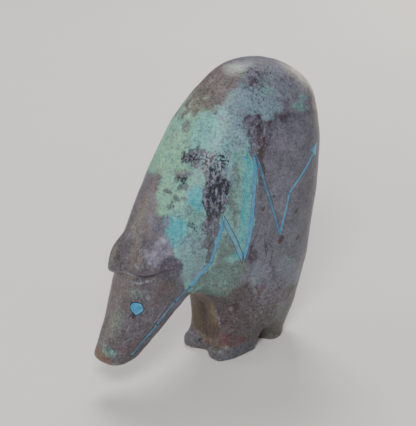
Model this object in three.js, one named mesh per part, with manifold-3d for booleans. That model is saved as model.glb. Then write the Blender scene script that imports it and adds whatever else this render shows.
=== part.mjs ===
// A small standing bear with a high humped back, carved in one from stone and inlaid with turquoise.
// Millimetres. +Z is up, the nose points towards -X and the bear's left side faces -Y.
// The origin is on the ground, under the middle of the bounding box.

import * as THREE from "three";
import { mergeVertices, toCreasedNormals } from "three/addons/utils/BufferGeometryUtils.js";
import Module from "manifold-3d";

// Overall size
const LENGTH = 60;
const WIDTH = 24;
const HEIGHT = 67.5;

// Carving of the ears
const EAR_LENGTH = 8.8;
const EAR_WIDTH = 5;
const EAR_THICKNESS = 3.8;
const EAR_LEAN = THREE.MathUtils.degToRad(26);
const EAR_BLEND = 1.8;
const EAR_FLOOR_BLEND = 0.6;
const CROWN_STEP = 0.45;
const CROWN_STEP_FADE = 6;

// Feet, and the hollows between the legs
const FOOT_LENGTH = 8.4;
const FOOT_WIDTH = 6.2;
const FOOT_HEIGHT = 3;
const FOOT_CORNER = 1.4;
const FOOT_BLEND = 1.6;
const SOLE_EDGE = 0.5;
const LEG_HOLLOW_WIDTH = 5.6;
const LEG_HOLLOW_TOP_WIDTH = 2;
const FLANK_NOTCH_LENGTH = 4.8;
const FLANK_NOTCH_HEIGHT = 4;
const FLANK_NOTCH_DEPTH = 5;
const HOLLOW_BLEND = 1.5;

// Inlay
const EYE_DIAMETER = 3.1;
const EYE_DEPTH = 1.6;
const LINE_WIDTH = 1;
const JAW_LINE_WIDTH = 0.7;
const TAIL_LINE_WIDTH = 0.7;
const LINE_DEPTH = 1.1;
const GLUE_GAP = 0.3;
const MITRE_LIMIT = 1.6;

// Fineness of the skin
const FINE_STEP = 1.2;
const COARSE_STEP = 2;
const HUMP_STEP = 2.8;
const OUTLINE_STEPS = 4;
const SETTLE_ROUNDS = 3;
const GROUND_TOLERANCE = 0.01;
const SLOPE_STEP = 1e-3;
const SEARCH_TOLERANCE = 1e-4;
const BAR_STEP = 5;
const EYE_SIDES = 20;
// Edges sharper than this are shaded as edges
const CREASE = THREE.MathUtils.degToRad(35);

// Stretches with finer detail, in percent of length and height
const HEAD_END = -26;
const FEET_SPAN = [-3, 12];
const EARS_SPAN = [37, 52];

const STONE = { color: 0x7e8a86, roughness: 0.5, metalness: 0 };
const TURQUOISE = { color: 0x3c96c8, roughness: 0.35, metalness: 0 };

// How square the cross-section is: 2 is an ellipse
const SECTION_POWER = 2.5;
// How far each cross-section's width reaches into its surroundings
const SECTION_REACH = 6.5;

// Side outline, in percent of the length from the middle and of the height from the ground
const OUTLINE = [
  // Heel, up the rump and over the hump
  [34.5, 0], [40, 10], [43, 25], [46.5, 43.5], [49, 61], [50, 74.5],
  [47.5, 88], [36.5, 96.5], [23, 100], [10.5, 98.5],
  // Down the nape to the crown
  [-1.5, 91], [-12, 79], [-21.5, 67], [-28.5, 56.5], [-34, 47.5],
  // Forehead, nose and chin
  [-38, 38.5], [-42.5, 27], [-48.5, 16.5], [-50, 12.5], [-45.5, 10.6], [-38.5, 12],
  // Jaw, throat, chest and toes
  [-29, 19.5], [-21.5, 25], [-15.5, 28.6], [-8, 26.6], [-1, 20.5], [1, 10.5], [0, 0],
  // Closed well under the ground, which cuts the soles flat
  [0, -10], [34.5, -10],
];

// Cross-sections: place in percent of length and height, width in percent of the whole width,
// and the radius over which the side rounds into the outline
const SECTIONS = [
  { place: [22, 95.5], width: 73, round: 13 },
  { place: [18, 72], width: 100, round: 15 },
  { place: [27, 42], width: 98, round: 13 },
  { place: [-1.5, 60], width: 97, round: 13 },
  { place: [-18, 51], width: 84, round: 11 },
  { place: [-35, 36], width: 67, round: 8 },
  { place: [-25, 21.5], width: 54, round: 2.6 },
  { place: [-10, 30.5], width: 66, round: 2.6 },
  { place: [-46.5, 12], width: 33, round: 2.4 },
  { place: [-1.5, 18.5], width: 65, round: 2.6 },
  { place: [3.5, 6], width: 57, round: 2.2 },
  { place: [20, 18.5], width: 85, round: 8 },
  { place: [31.5, 6], width: 51, round: 4.5 },
];

// Middle of each ear, in percent of length, width and height: the carver set the left one a little higher
const EARS = [
  [-33.8, -19.5, 45.6],
  [-35.2, 16.8, 43.4],
];
// The step under the ears and across the crown, which fades out over a stretch of the length
const EAR_FLOOR = { place: [-37.5, 40.6], slope: 0.04, roll: 0.2, fade: [-35, -21.5] };

// Front feet and the hollows, in percent of length, width and height
const FOOT_PLACE = [4.7, 13.6];
const FRONT_HOLLOW = { bottom: [-4.3, -3], top: [-2.3, 16.5] };
const REAR_HOLLOW = { bottom: [39, -3], top: [44, 18] };
const FLANK_NOTCH = [20.3, 35.5];

// Eyes, in percent of length and height: side is -1 for left and 1 for right. The right one sits further back.
const EYES = [
  { name: "eye_left", side: -1, place: [-39.5, 30.8] },
  { name: "eye_right", side: 1, place: [-34, 29] },
];

// The heart line on the bear's left side, from the mouth to the arrow, in percent of length and height
const HEARTLINE = [
  { name: "jaw_front", from: [-42.5, 15], width: JAW_LINE_WIDTH },
  { name: "jaw_back", from: [-33, 24.4], width: JAW_LINE_WIDTH },
  { name: "throat", from: [-25, 30.6], width: LINE_WIDTH },
  { name: "neck", from: [-18.5, 34], width: LINE_WIDTH },
  { name: "rise_1", from: [-10.3, 41], width: LINE_WIDTH },
  { name: "fall_1", from: [-7.5, 57], width: LINE_WIDTH },
  { name: "rise_2", from: [5.3, 37.8], width: LINE_WIDTH },
  { name: "fall_2", from: [7.2, 75.8], width: LINE_WIDTH },
  { name: "rise_3", from: [20.2, 44], width: TAIL_LINE_WIDTH },
  { name: "shaft", from: [24.3, 57.8], width: TAIL_LINE_WIDTH },
];
const ARROW_TIP = [40.6, 71.2];
const ARROW_WIDTH = 3.6;
const ARROW_TIP_WIDTH = 0.4;
const ARROW_LENGTH = 2.8;

const wasm = await Module();
wasm.setup();

const { lerp, smoothstep, clamp } = THREE.MathUtils;

// Places given in percent, in millimetres
const alongLength = (percent) => (percent / 100) * LENGTH;
const acrossWidth = (percent) => (percent / 100) * WIDTH;
const upHeight = (percent) => (percent / 100) * HEIGHT;
const sidePoint = ([x, z]) => new THREE.Vector2(alongLength(x), upHeight(z));

// Smooth union and smooth cut of two signed distances
function blendUnion(a, b, radius) {
  const share = clamp(0.5 + (0.5 * (b - a)) / radius, 0, 1);
  return lerp(b, a, share) - radius * share * (1 - share);
}

function blendCut(a, b, radius) {
  return -blendUnion(-a, b, radius);
}

// Side outline as a closed chain of short straight edges
const outlineCurve = new THREE.CatmullRomCurve3(
  OUTLINE.map(sidePoint).map((point) => new THREE.Vector3(point.x, 0, point.y)),
  true,
  "centripetal",
);
const outline = outlineCurve.getPoints(OUTLINE.length * OUTLINE_STEPS).slice(0, -1);

// Signed distance to the outline in the side view, negative inside
function outlineDistance(x, z) {
  let nearest = Infinity;
  let inside = false;
  outline.forEach((start, index) => {
    const end = outline[(index + 1) % outline.length];
    const edgeX = end.x - start.x;
    const edgeZ = end.z - start.z;
    const towardsX = x - start.x;
    const towardsZ = z - start.z;
    const along = clamp((towardsX * edgeX + towardsZ * edgeZ) / (edgeX * edgeX + edgeZ * edgeZ), 0, 1);
    nearest = Math.min(nearest, Math.hypot(towardsX - edgeX * along, towardsZ - edgeZ * along));
    const crosses = start.z > z !== end.z > z;
    if (crosses && x < start.x + (towardsZ * edgeX) / edgeZ) inside = !inside;
  });
  return inside ? -nearest : nearest;
}

// Half width and edge rounding at a place in the side view, blended from the nearest cross-sections
function sectionAt(x, z) {
  let halfWidth = 0;
  let round = 0;
  let total = 0;
  for (const section of SECTIONS) {
    const centre = sidePoint(section.place);
    const distance = Math.hypot(x - centre.x, z - centre.y) / SECTION_REACH;
    const weight = Math.exp(-0.5 * distance * distance) + Number.EPSILON;
    halfWidth += weight * acrossWidth(section.width) * 0.5;
    round += weight * section.round;
    total += weight;
  }
  return { halfWidth: halfWidth / total, round: round / total };
}

// The plain bear: the side outline, rounded off towards both sides
function torso(x, y, z) {
  const { halfWidth, round } = sectionAt(x, z);
  const fromOutline = Math.max(outlineDistance(x, z) + round, 0) / round;
  const fromMiddle = Math.abs(y) / halfWidth;
  const size = (fromOutline ** SECTION_POWER + fromMiddle ** SECTION_POWER) ** (1 / SECTION_POWER);
  return (size - 1) * Math.min(halfWidth, round);
}

// Height above the step under the ears
function aboveEarFloor(x, y, z) {
  const place = sidePoint(EAR_FLOOR.place);
  const rise = z - place.y - EAR_FLOOR.slope * (x - place.x) + EAR_FLOOR.roll * y;
  return rise / Math.hypot(1, EAR_FLOOR.slope);
}

function ellipsoid(x, y, z, [sizeX, sizeY, sizeZ]) {
  const scaled = Math.hypot(x / sizeX, y / sizeY, z / sizeZ) * 2;
  return ((scaled - 1) * Math.min(sizeX, sizeY, sizeZ)) / 2;
}

// An ear: an upright almond that leans back along the nape and ends flat on the step
function ear(x, y, z, [placeX, placeY, placeZ]) {
  const offX = x - alongLength(placeX);
  const offY = y - acrossWidth(placeY);
  const offZ = z - upHeight(placeZ);
  const outward = offX * Math.cos(EAR_LEAN) - offZ * Math.sin(EAR_LEAN);
  const upward = offX * Math.sin(EAR_LEAN) + offZ * Math.cos(EAR_LEAN);
  const almond = ellipsoid(outward, offY, upward, [EAR_THICKNESS, EAR_WIDTH, EAR_LENGTH]);
  return blendCut(almond, aboveEarFloor(x, y, z), EAR_FLOOR_BLEND);
}

// The nape stands a little proud of the face above the step
function crownRise(x, y, z) {
  const above = aboveEarFloor(x, y, z);
  const onNape = smoothstep(above, -CROWN_STEP, CROWN_STEP) * Math.exp(-((above / CROWN_STEP_FADE) ** 2));
  const atFront = 1 - smoothstep(x, ...EAR_FLOOR.fade.map(alongLength));
  return CROWN_STEP * onNape * atFront;
}

// A front foot: a block with rounded corners
function foot(x, y, z) {
  const offX = Math.abs(x - alongLength(FOOT_PLACE[0])) - (FOOT_LENGTH / 2 - FOOT_CORNER);
  const offY = Math.abs(Math.abs(y) - acrossWidth(FOOT_PLACE[1])) - (FOOT_WIDTH / 2 - FOOT_CORNER);
  const offZ = Math.abs(z) - (FOOT_HEIGHT - FOOT_CORNER);
  const outside = Math.hypot(Math.max(offX, 0), Math.max(offY, 0), Math.max(offZ, 0));
  return outside + Math.min(Math.max(offX, offY, offZ), 0) - FOOT_CORNER;
}

// The hollow between two legs: an upright tapering groove
function legHollow(x, y, z, { bottom, top }) {
  const low = sidePoint(bottom);
  const rise = sidePoint(top).sub(low);
  const along = clamp(((x - low.x) * rise.x + (z - low.y) * rise.y) / rise.lengthSq(), 0, 1);
  const radius = lerp(LEG_HOLLOW_WIDTH, LEG_HOLLOW_TOP_WIDTH, along) / 2;
  return Math.hypot(x - low.x - rise.x * along, y, z - low.y - rise.y * along) - radius;
}

// The notch on each flank that parts the front foot from the hind foot
function flankNotch(x, y, z) {
  const offX = x - alongLength(FLANK_NOTCH[0]);
  const offY = Math.abs(y) - acrossWidth(FLANK_NOTCH[1]);
  return ellipsoid(offX, offY, z, [FLANK_NOTCH_LENGTH, FLANK_NOTCH_DEPTH * 2, FLANK_NOTCH_HEIGHT * 2]);
}

// The whole carving as one signed distance, negative inside the stone
function carving(x, y, z) {
  let shape = torso(x, y, z) - crownRise(x, y, z);
  for (const place of EARS) shape = blendUnion(shape, ear(x, y, z, place), EAR_BLEND);
  shape = blendUnion(shape, foot(x, y, z), FOOT_BLEND);
  shape = blendCut(shape, flankNotch(x, y, z), HOLLOW_BLEND);
  shape = blendCut(shape, legHollow(x, y, z, FRONT_HOLLOW), HOLLOW_BLEND);
  shape = blendCut(shape, legHollow(x, y, z, REAR_HOLLOW), HOLLOW_BLEND);
  return blendCut(shape, z, SOLE_EDGE);
}

// Slope of the carving's distance, by small steps each way
function steepness(x, y, z) {
  return new THREE.Vector3(
    carving(x + SLOPE_STEP, y, z) - carving(x - SLOPE_STEP, y, z),
    carving(x, y + SLOPE_STEP, z) - carving(x, y - SLOPE_STEP, z),
    carving(x, y, z + SLOPE_STEP) - carving(x, y, z - SLOPE_STEP),
  ).divideScalar(2 * SLOPE_STEP);
}

// Where the flank lies at a place in the side view; side is -1 for left and 1 for right
function flankPoint(x, z, side) {
  let inner = 0;
  let outer = WIDTH;
  while (outer - inner > SEARCH_TOLERANCE) {
    const middle = (inner + outer) / 2;
    if (carving(x, side * middle, z) < 0) inner = middle;
    else outer = middle;
  }
  return new THREE.Vector3(x, side * inner, z);
}

// A cell's twelve edges, each between two corners, and the three axes, each with the two after it
const AXES = [[1, 0, 0], [0, 1, 0], [0, 0, 1]];
const AXIS_TURNS = AXES.map((axis, index) => [axis, AXES[(index + 1) % 3], AXES[(index + 2) % 3]]);
const CELL_EDGES = AXIS_TURNS.flatMap(([axis, second, third]) => (
  [[0, 0], [0, 1], [1, 0], [1, 1]].map(([shareSecond, shareThird]) => {
    const start = second.map((value, index) => value * shareSecond + third[index] * shareThird);
    return [start, start.map((value, index) => value + axis[index])];
  })
));

// Moves a point onto the surface, and onto the ground where it is at a sole
function settle(point) {
  for (let round = 0; round < SETTLE_ROUNDS; round += 1) {
    const slope = steepness(point.x, point.y, point.z);
    point.addScaledVector(slope, -carving(point.x, point.y, point.z) / slope.lengthSq());
  }
  if (Math.abs(point.z) < GROUND_TOLERANCE) point.z = 0;
  return point;
}

// Two triangles for a four-sided face, parted along its shorter diagonal
function splitQuad([a, b, c, d], positions) {
  const shorter = positions[a].distanceTo(positions[c]) < positions[b].distanceTo(positions[d]);
  return shorter ? [a, b, c, a, c, d] : [b, c, d, b, d, a];
}

// Grid lines from a start through stretches that each have an end and a step
function gridLines(start, stretches) {
  const lines = [start];
  for (const [end, step] of stretches) {
    while (lines.at(-1) < end) lines.push(lines.at(-1) + step);
  }
  return lines;
}

// The cells of a grid that the surface passes through, with one corner of the skin in each.
// Four cells around a grid edge that crosses the surface share one face of the skin.
function skinOf(shape, linesX, linesY, linesZ) {
  const countY = linesY.length;
  const countZ = linesZ.length;
  const at = (i, j, k) => (i * countY + j) * countZ + k;
  const values = new Float64Array(linesX.length * countY * countZ);
  linesX.forEach((x, i) => {
    linesY.forEach((y, j) => {
      linesZ.forEach((z, k) => {
        values[at(i, j, k)] = shape(x, y, z);
      });
    });
  });

  const positions = [];
  const cornerOf = new Map();
  const place = (i, j, k) => new THREE.Vector3(linesX[i], linesY[j], linesZ[k]);

  // Middle of the points where the cell's twelve edges cross the surface, or null where none does
  function cellMiddle(i, j, k) {
    const middle = new THREE.Vector3();
    let count = 0;
    for (const [a, b] of CELL_EDGES) {
      const startValue = values[at(i + a[0], j + a[1], k + a[2])];
      const endValue = values[at(i + b[0], j + b[1], k + b[2])];
      if (startValue < 0 === endValue < 0) continue;
      const start = place(i + a[0], j + a[1], k + a[2]);
      const end = place(i + b[0], j + b[1], k + b[2]);
      middle.add(start.lerp(end, startValue / (startValue - endValue)));
      count += 1;
    }
    return count ? middle.divideScalar(count) : null;
  }

  for (let i = 0; i < linesX.length - 1; i += 1) {
    for (let j = 0; j < countY - 1; j += 1) {
      for (let k = 0; k < countZ - 1; k += 1) {
        const middle = cellMiddle(i, j, k);
        if (!middle) continue;
        cornerOf.set(at(i, j, k), positions.length);
        positions.push(settle(middle));
      }
    }
  }

  const faces = [];
  for (const [cell] of cornerOf) {
    const i = Math.floor(cell / (countY * countZ));
    const j = Math.floor(cell / countZ) % countY;
    const k = cell % countZ;
    for (const [u, v, w] of AXIS_TURNS) {
      const start = values[cell];
      const end = values[at(i + u[0], j + u[1], k + u[2])];
      if (start < 0 === end < 0) continue;
      const quad = [
        at(i - v[0] - w[0], j - v[1] - w[1], k - v[2] - w[2]),
        at(i - w[0], j - w[1], k - w[2]),
        cell,
        at(i - v[0], j - v[1], k - v[2]),
      ].map((index) => cornerOf.get(index));
      if (start >= 0) quad.reverse();
      faces.push(...splitQuad(quad, positions));
    }
  }

  const geometry = new THREE.BufferGeometry();
  const coordinates = positions.flatMap((point) => point.toArray());
  geometry.setAttribute("position", new THREE.Float32BufferAttribute(coordinates, 3));
  geometry.setIndex(faces);
  return geometry;
}

// Solids for cuts and joins, and back again
function solidOf(geometry) {
  const plain = geometry.clone();
  plain.deleteAttribute("normal");
  plain.deleteAttribute("uv");
  const merged = mergeVertices(plain);
  return new wasm.Manifold(new wasm.Mesh({
    numProp: 3,
    vertProperties: new Float32Array(merged.attributes.position.array),
    triVerts: new Uint32Array(merged.index.array),
  }));
}

function geometryOf(solid) {
  const mesh = solid.getMesh();
  const geometry = new THREE.BufferGeometry();
  geometry.setAttribute("position", new THREE.BufferAttribute(mesh.vertProperties, 3));
  geometry.setIndex(new THREE.BufferAttribute(mesh.triVerts, 1));
  return toCreasedNormals(geometry, CREASE);
}

// How far past a joint each edge of a bar runs: short on the inside of the turn, and no further than
// the mitre limit on the outside. The turn is from this bar's direction to its neighbour's.
function pastJoint(half, turn, side, margin) {
  const mitre = -side * (half + margin) * Math.tan(turn / 2);
  const limited = Math.min(mitre, half * MITRE_LIMIT + margin);
  return limited + (margin - GLUE_GAP / 2) / Math.cos(turn / 2);
}

// A bar of the heart line, sunk into the left flank, with a margin added all round it
function bar({ start, end, startHalf, endHalf, startTurn, endTurn }, margin) {
  const direction = end.clone().sub(start).normalize();
  const across = new THREE.Vector2(-direction.y, direction.x);
  const segments = Math.max(1, Math.round(start.distanceTo(end) / BAR_STEP));
  const geometry = new THREE.BoxGeometry(1, 1, 1, segments, 1, 1);
  const position = geometry.attributes.position;
  for (let index = 0; index < position.count; index += 1) {
    const share = position.getX(index) + 0.5;
    const side = Math.sign(position.getY(index));
    const first = start.clone()
      .addScaledVector(direction, -pastJoint(startHalf, startTurn, side, margin))
      .addScaledVector(across, side * (startHalf + margin));
    const last = end.clone()
      .addScaledVector(direction, pastJoint(endHalf, endTurn, side, margin))
      .addScaledVector(across, side * (endHalf + margin));
    const place = first.lerp(last, share);
    const floor = flankPoint(place.x, place.y, -1).y + LINE_DEPTH + margin;
    position.setXYZ(index, place.x, position.getZ(index) > 0 ? -WIDTH : floor, place.y);
  }
  return solidOf(geometry);
}

// Angle between two directions in the side view, positive anticlockwise
function turnBetween(from, to) {
  return Math.atan2(from.cross(to), from.dot(to));
}

// The bars of the heart line from the mouth to the arrow
function heartlineBars() {
  const points = [...HEARTLINE.map(({ from }) => sidePoint(from)), sidePoint(ARROW_TIP)];
  const shaftDirection = points.at(-1).clone().sub(points.at(-2)).normalize();
  points.splice(-1, 0, points.at(-1).clone().addScaledVector(shaftDirection, -ARROW_LENGTH));
  const directions = points.slice(1).map((point, index) => point.clone().sub(points[index]));
  const turns = directions.slice(1).map((direction, index) => turnBetween(directions[index], direction));
  const bars = HEARTLINE.map(({ name, width }, index) => ({
    name: `heartline_${name}`,
    start: points[index],
    end: points[index + 1],
    startHalf: width / 2,
    endHalf: width / 2,
    startTurn: turns[index - 1] ?? 0,
    endTurn: turns[index],
  }));
  bars.push({
    name: "heartline_arrowhead",
    start: points.at(-2),
    end: points.at(-1),
    startHalf: ARROW_WIDTH / 2,
    endHalf: ARROW_TIP_WIDTH / 2,
    startTurn: 0,
    endTurn: 0,
  });
  return bars;
}

// An eye plug, set square to the face, with a margin added all round it
function eyePlug({ side, place }, margin) {
  const { x, y } = sidePoint(place);
  const centre = flankPoint(x, y, side);
  const outward = steepness(centre.x, centre.y, centre.z).normalize();
  const radius = EYE_DIAMETER / 2 + margin;
  const geometry = new THREE.CylinderGeometry(radius, radius, (EYE_DEPTH + margin) * 2, EYE_SIDES);
  geometry.applyQuaternion(new THREE.Quaternion().setFromUnitVectors(THREE.Object3D.DEFAULT_UP, outward));
  geometry.translate(centre.x, centre.y, centre.z);
  return solidOf(geometry);
}

function piece(name, solid, finish) {
  const mesh = new THREE.Mesh(geometryOf(solid), new THREE.MeshStandardMaterial(finish));
  mesh.name = name;
  return mesh;
}

// How far the form reaches from the origin
const reachForward = Math.min(...outline.map((point) => point.x));
const reachBack = Math.max(...outline.map((point) => point.x));
const reachUp = Math.max(...outline.map((point) => point.z));
const reachAcross = Math.max(...SECTIONS.map(({ width }) => acrossWidth(width) / 2));

// Closer grid lines at the head, the feet, the ears and the hollows between the legs
const blank = solidOf(skinOf(
  carving,
  gridLines(reachForward - COARSE_STEP, [
    [alongLength(HEAD_END), FINE_STEP],
    [alongLength(FEET_SPAN[0]), COARSE_STEP],
    [alongLength(FEET_SPAN[1]), FINE_STEP],
    [reachBack + COARSE_STEP, COARSE_STEP],
  ]),
  gridLines(-reachAcross - COARSE_STEP, [
    [-LEG_HOLLOW_WIDTH, COARSE_STEP],
    [LEG_HOLLOW_WIDTH, FINE_STEP],
    [reachAcross + COARSE_STEP, COARSE_STEP],
  ]),
  gridLines(-FINE_STEP / 2, [
    [FOOT_HEIGHT + SOLE_EDGE, FINE_STEP],
    [upHeight(EARS_SPAN[0]), COARSE_STEP],
    [upHeight(EARS_SPAN[1]), FINE_STEP],
    [reachUp + HUMP_STEP, HUMP_STEP],
  ]),
));

const bear = new THREE.Group();
bear.name = "zuni_fetish";
let body = blank;
for (const eye of EYES) {
  body = body.subtract(eyePlug(eye, GLUE_GAP));
  bear.add(piece(eye.name, blank.intersect(eyePlug(eye, 0)), TURQUOISE));
}
for (const shape of heartlineBars()) {
  body = body.subtract(bar(shape, GLUE_GAP));
  bear.add(piece(shape.name, blank.intersect(bar(shape, 0)), TURQUOISE));
}
bear.add(piece("bear_body", body, STONE));

export default bear;
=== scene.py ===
"""A small standing bear carved in mottled stone, with eyes and a heart line of turquoise set into it.

Sizes in the classes are millimetres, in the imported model's frame: +Z is up, the nose points towards -X and
the bear's left side faces -Y. Blender's objects are made in metres.
"""

from __future__ import annotations

import logging
import math
from dataclasses import dataclass, field
from enum import Enum
from typing import Sequence

import bpy
import numpy as np
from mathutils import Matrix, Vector

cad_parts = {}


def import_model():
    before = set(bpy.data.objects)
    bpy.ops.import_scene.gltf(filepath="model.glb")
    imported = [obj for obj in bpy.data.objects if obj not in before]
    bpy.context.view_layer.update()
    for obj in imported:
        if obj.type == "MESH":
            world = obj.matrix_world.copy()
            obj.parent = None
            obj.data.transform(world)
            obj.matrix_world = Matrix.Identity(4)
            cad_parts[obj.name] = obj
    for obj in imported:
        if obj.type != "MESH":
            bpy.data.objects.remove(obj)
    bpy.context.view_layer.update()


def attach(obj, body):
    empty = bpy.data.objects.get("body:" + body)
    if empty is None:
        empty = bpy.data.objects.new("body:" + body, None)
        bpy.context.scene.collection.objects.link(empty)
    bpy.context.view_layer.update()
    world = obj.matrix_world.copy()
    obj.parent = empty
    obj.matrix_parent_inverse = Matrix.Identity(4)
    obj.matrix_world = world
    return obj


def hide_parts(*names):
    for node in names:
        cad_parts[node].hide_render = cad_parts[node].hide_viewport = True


log = logging.getLogger("bear")

MM = 0.001
Array = np.ndarray
Point = tuple[float, float]
Place = tuple[float, float, float]
Colour = tuple[float, float, float]
# Where a ramp starts and ends, and then its low and high where they aren't 0 and 1
Ramp = tuple[float, ...]
Socket = bpy.types.NodeSocket


def blend_union(first: Array, second: Array, radius: float) -> Array:
    """Joins two signed distances with a fillet.

    Args:
        first: Signed distance to one shape.
        second: Signed distance to the other.
        radius: How far the fillet reaches.

    Returns:
        The signed distance to both together.
    """
    share = np.clip(0.5 + 0.5 * (second - first) / radius, 0.0, 1.0)
    return second + (first - second) * share - radius * share * (1.0 - share)


def blend_cut(first: Array, second: Array, radius: float) -> Array:
    """Cuts the second shape out of the first, with a rounded edge."""
    return -blend_union(-first, second, radius)


def smooth_step(value: Array, start: float, end: float) -> Array:
    """Rises smoothly from 0 at start to 1 at end."""
    share = np.clip((value - start) / (end - start), 0.0, 1.0)
    return share * share * (3.0 - 2.0 * share)


def bump(value: Array, width: float) -> Array:
    """A soft hump, 1 at 0, that has all but gone at a distance of width."""
    return np.exp(-((2.0 * value / width) ** 2))


def closed_curve(points: Sequence[Point], steps: int) -> Array:
    """A smooth closed curve through points, as centripetal Catmull-Rom pieces.

    Args:
        points: The points that the curve passes through.
        steps: How many short straight edges each piece gets.

    Returns:
        The curve's corners, one row each.
    """
    places = np.array(points, float)
    corners = []
    count = len(places)
    for index in range(count):
        before, start, end, after = (places[(index + shift) % count] for shift in (-1, 0, 1, 2))
        gap_before = math.sqrt(np.linalg.norm(start - before))
        gap = math.sqrt(np.linalg.norm(end - start))
        gap_after = math.sqrt(np.linalg.norm(after - end))
        leave = end - start + gap * ((start - before) / gap_before - (end - before) / (gap_before + gap))
        arrive = end - start + gap * ((after - end) / gap_after - (after - start) / (gap + gap_after))
        for share in np.arange(steps) / steps:
            corners.append(
                start
                + leave * share
                + (3.0 * (end - start) - 2.0 * leave - arrive) * share**2
                + (leave + arrive - 2.0 * (end - start)) * share**3
            )
    return np.array(corners)


@dataclass(frozen=True)
class Section:
    """A cross-section of the bear: where it is, how wide, and how far its side rounds into the outline."""

    place: Point
    width: float
    round: float


@dataclass(frozen=True)
class Ripple:
    """A gentle unevenness left by the carver's hand: waves in many directions added together."""

    wavelength: float
    height: float
    seed: int
    waves: int = 14
    spread: Point = (0.7, 1.4)

    def at(self, x: Array, y: Array, z: Array) -> Array:
        """Adds the waves up.

        Args:
            x: Places along the bear.
            y: Places across it.
            z: Heights.

        Returns:
            The height of the unevenness at each point.
        """
        chance = np.random.default_rng(self.seed)
        total = np.zeros(np.broadcast(x, y, z).shape)
        for _ in range(self.waves):
            direction = chance.normal(size=3)
            direction *= 2.0 * math.pi / self.wavelength / np.linalg.norm(direction)
            direction *= chance.uniform(*self.spread)
            phase = chance.uniform(0.0, 2.0 * math.pi)
            total += np.sin(x * direction[0] + y * direction[1] + z * direction[2] + phase)
        return total * self.height * math.sqrt(2.0 / self.waves)


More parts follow.
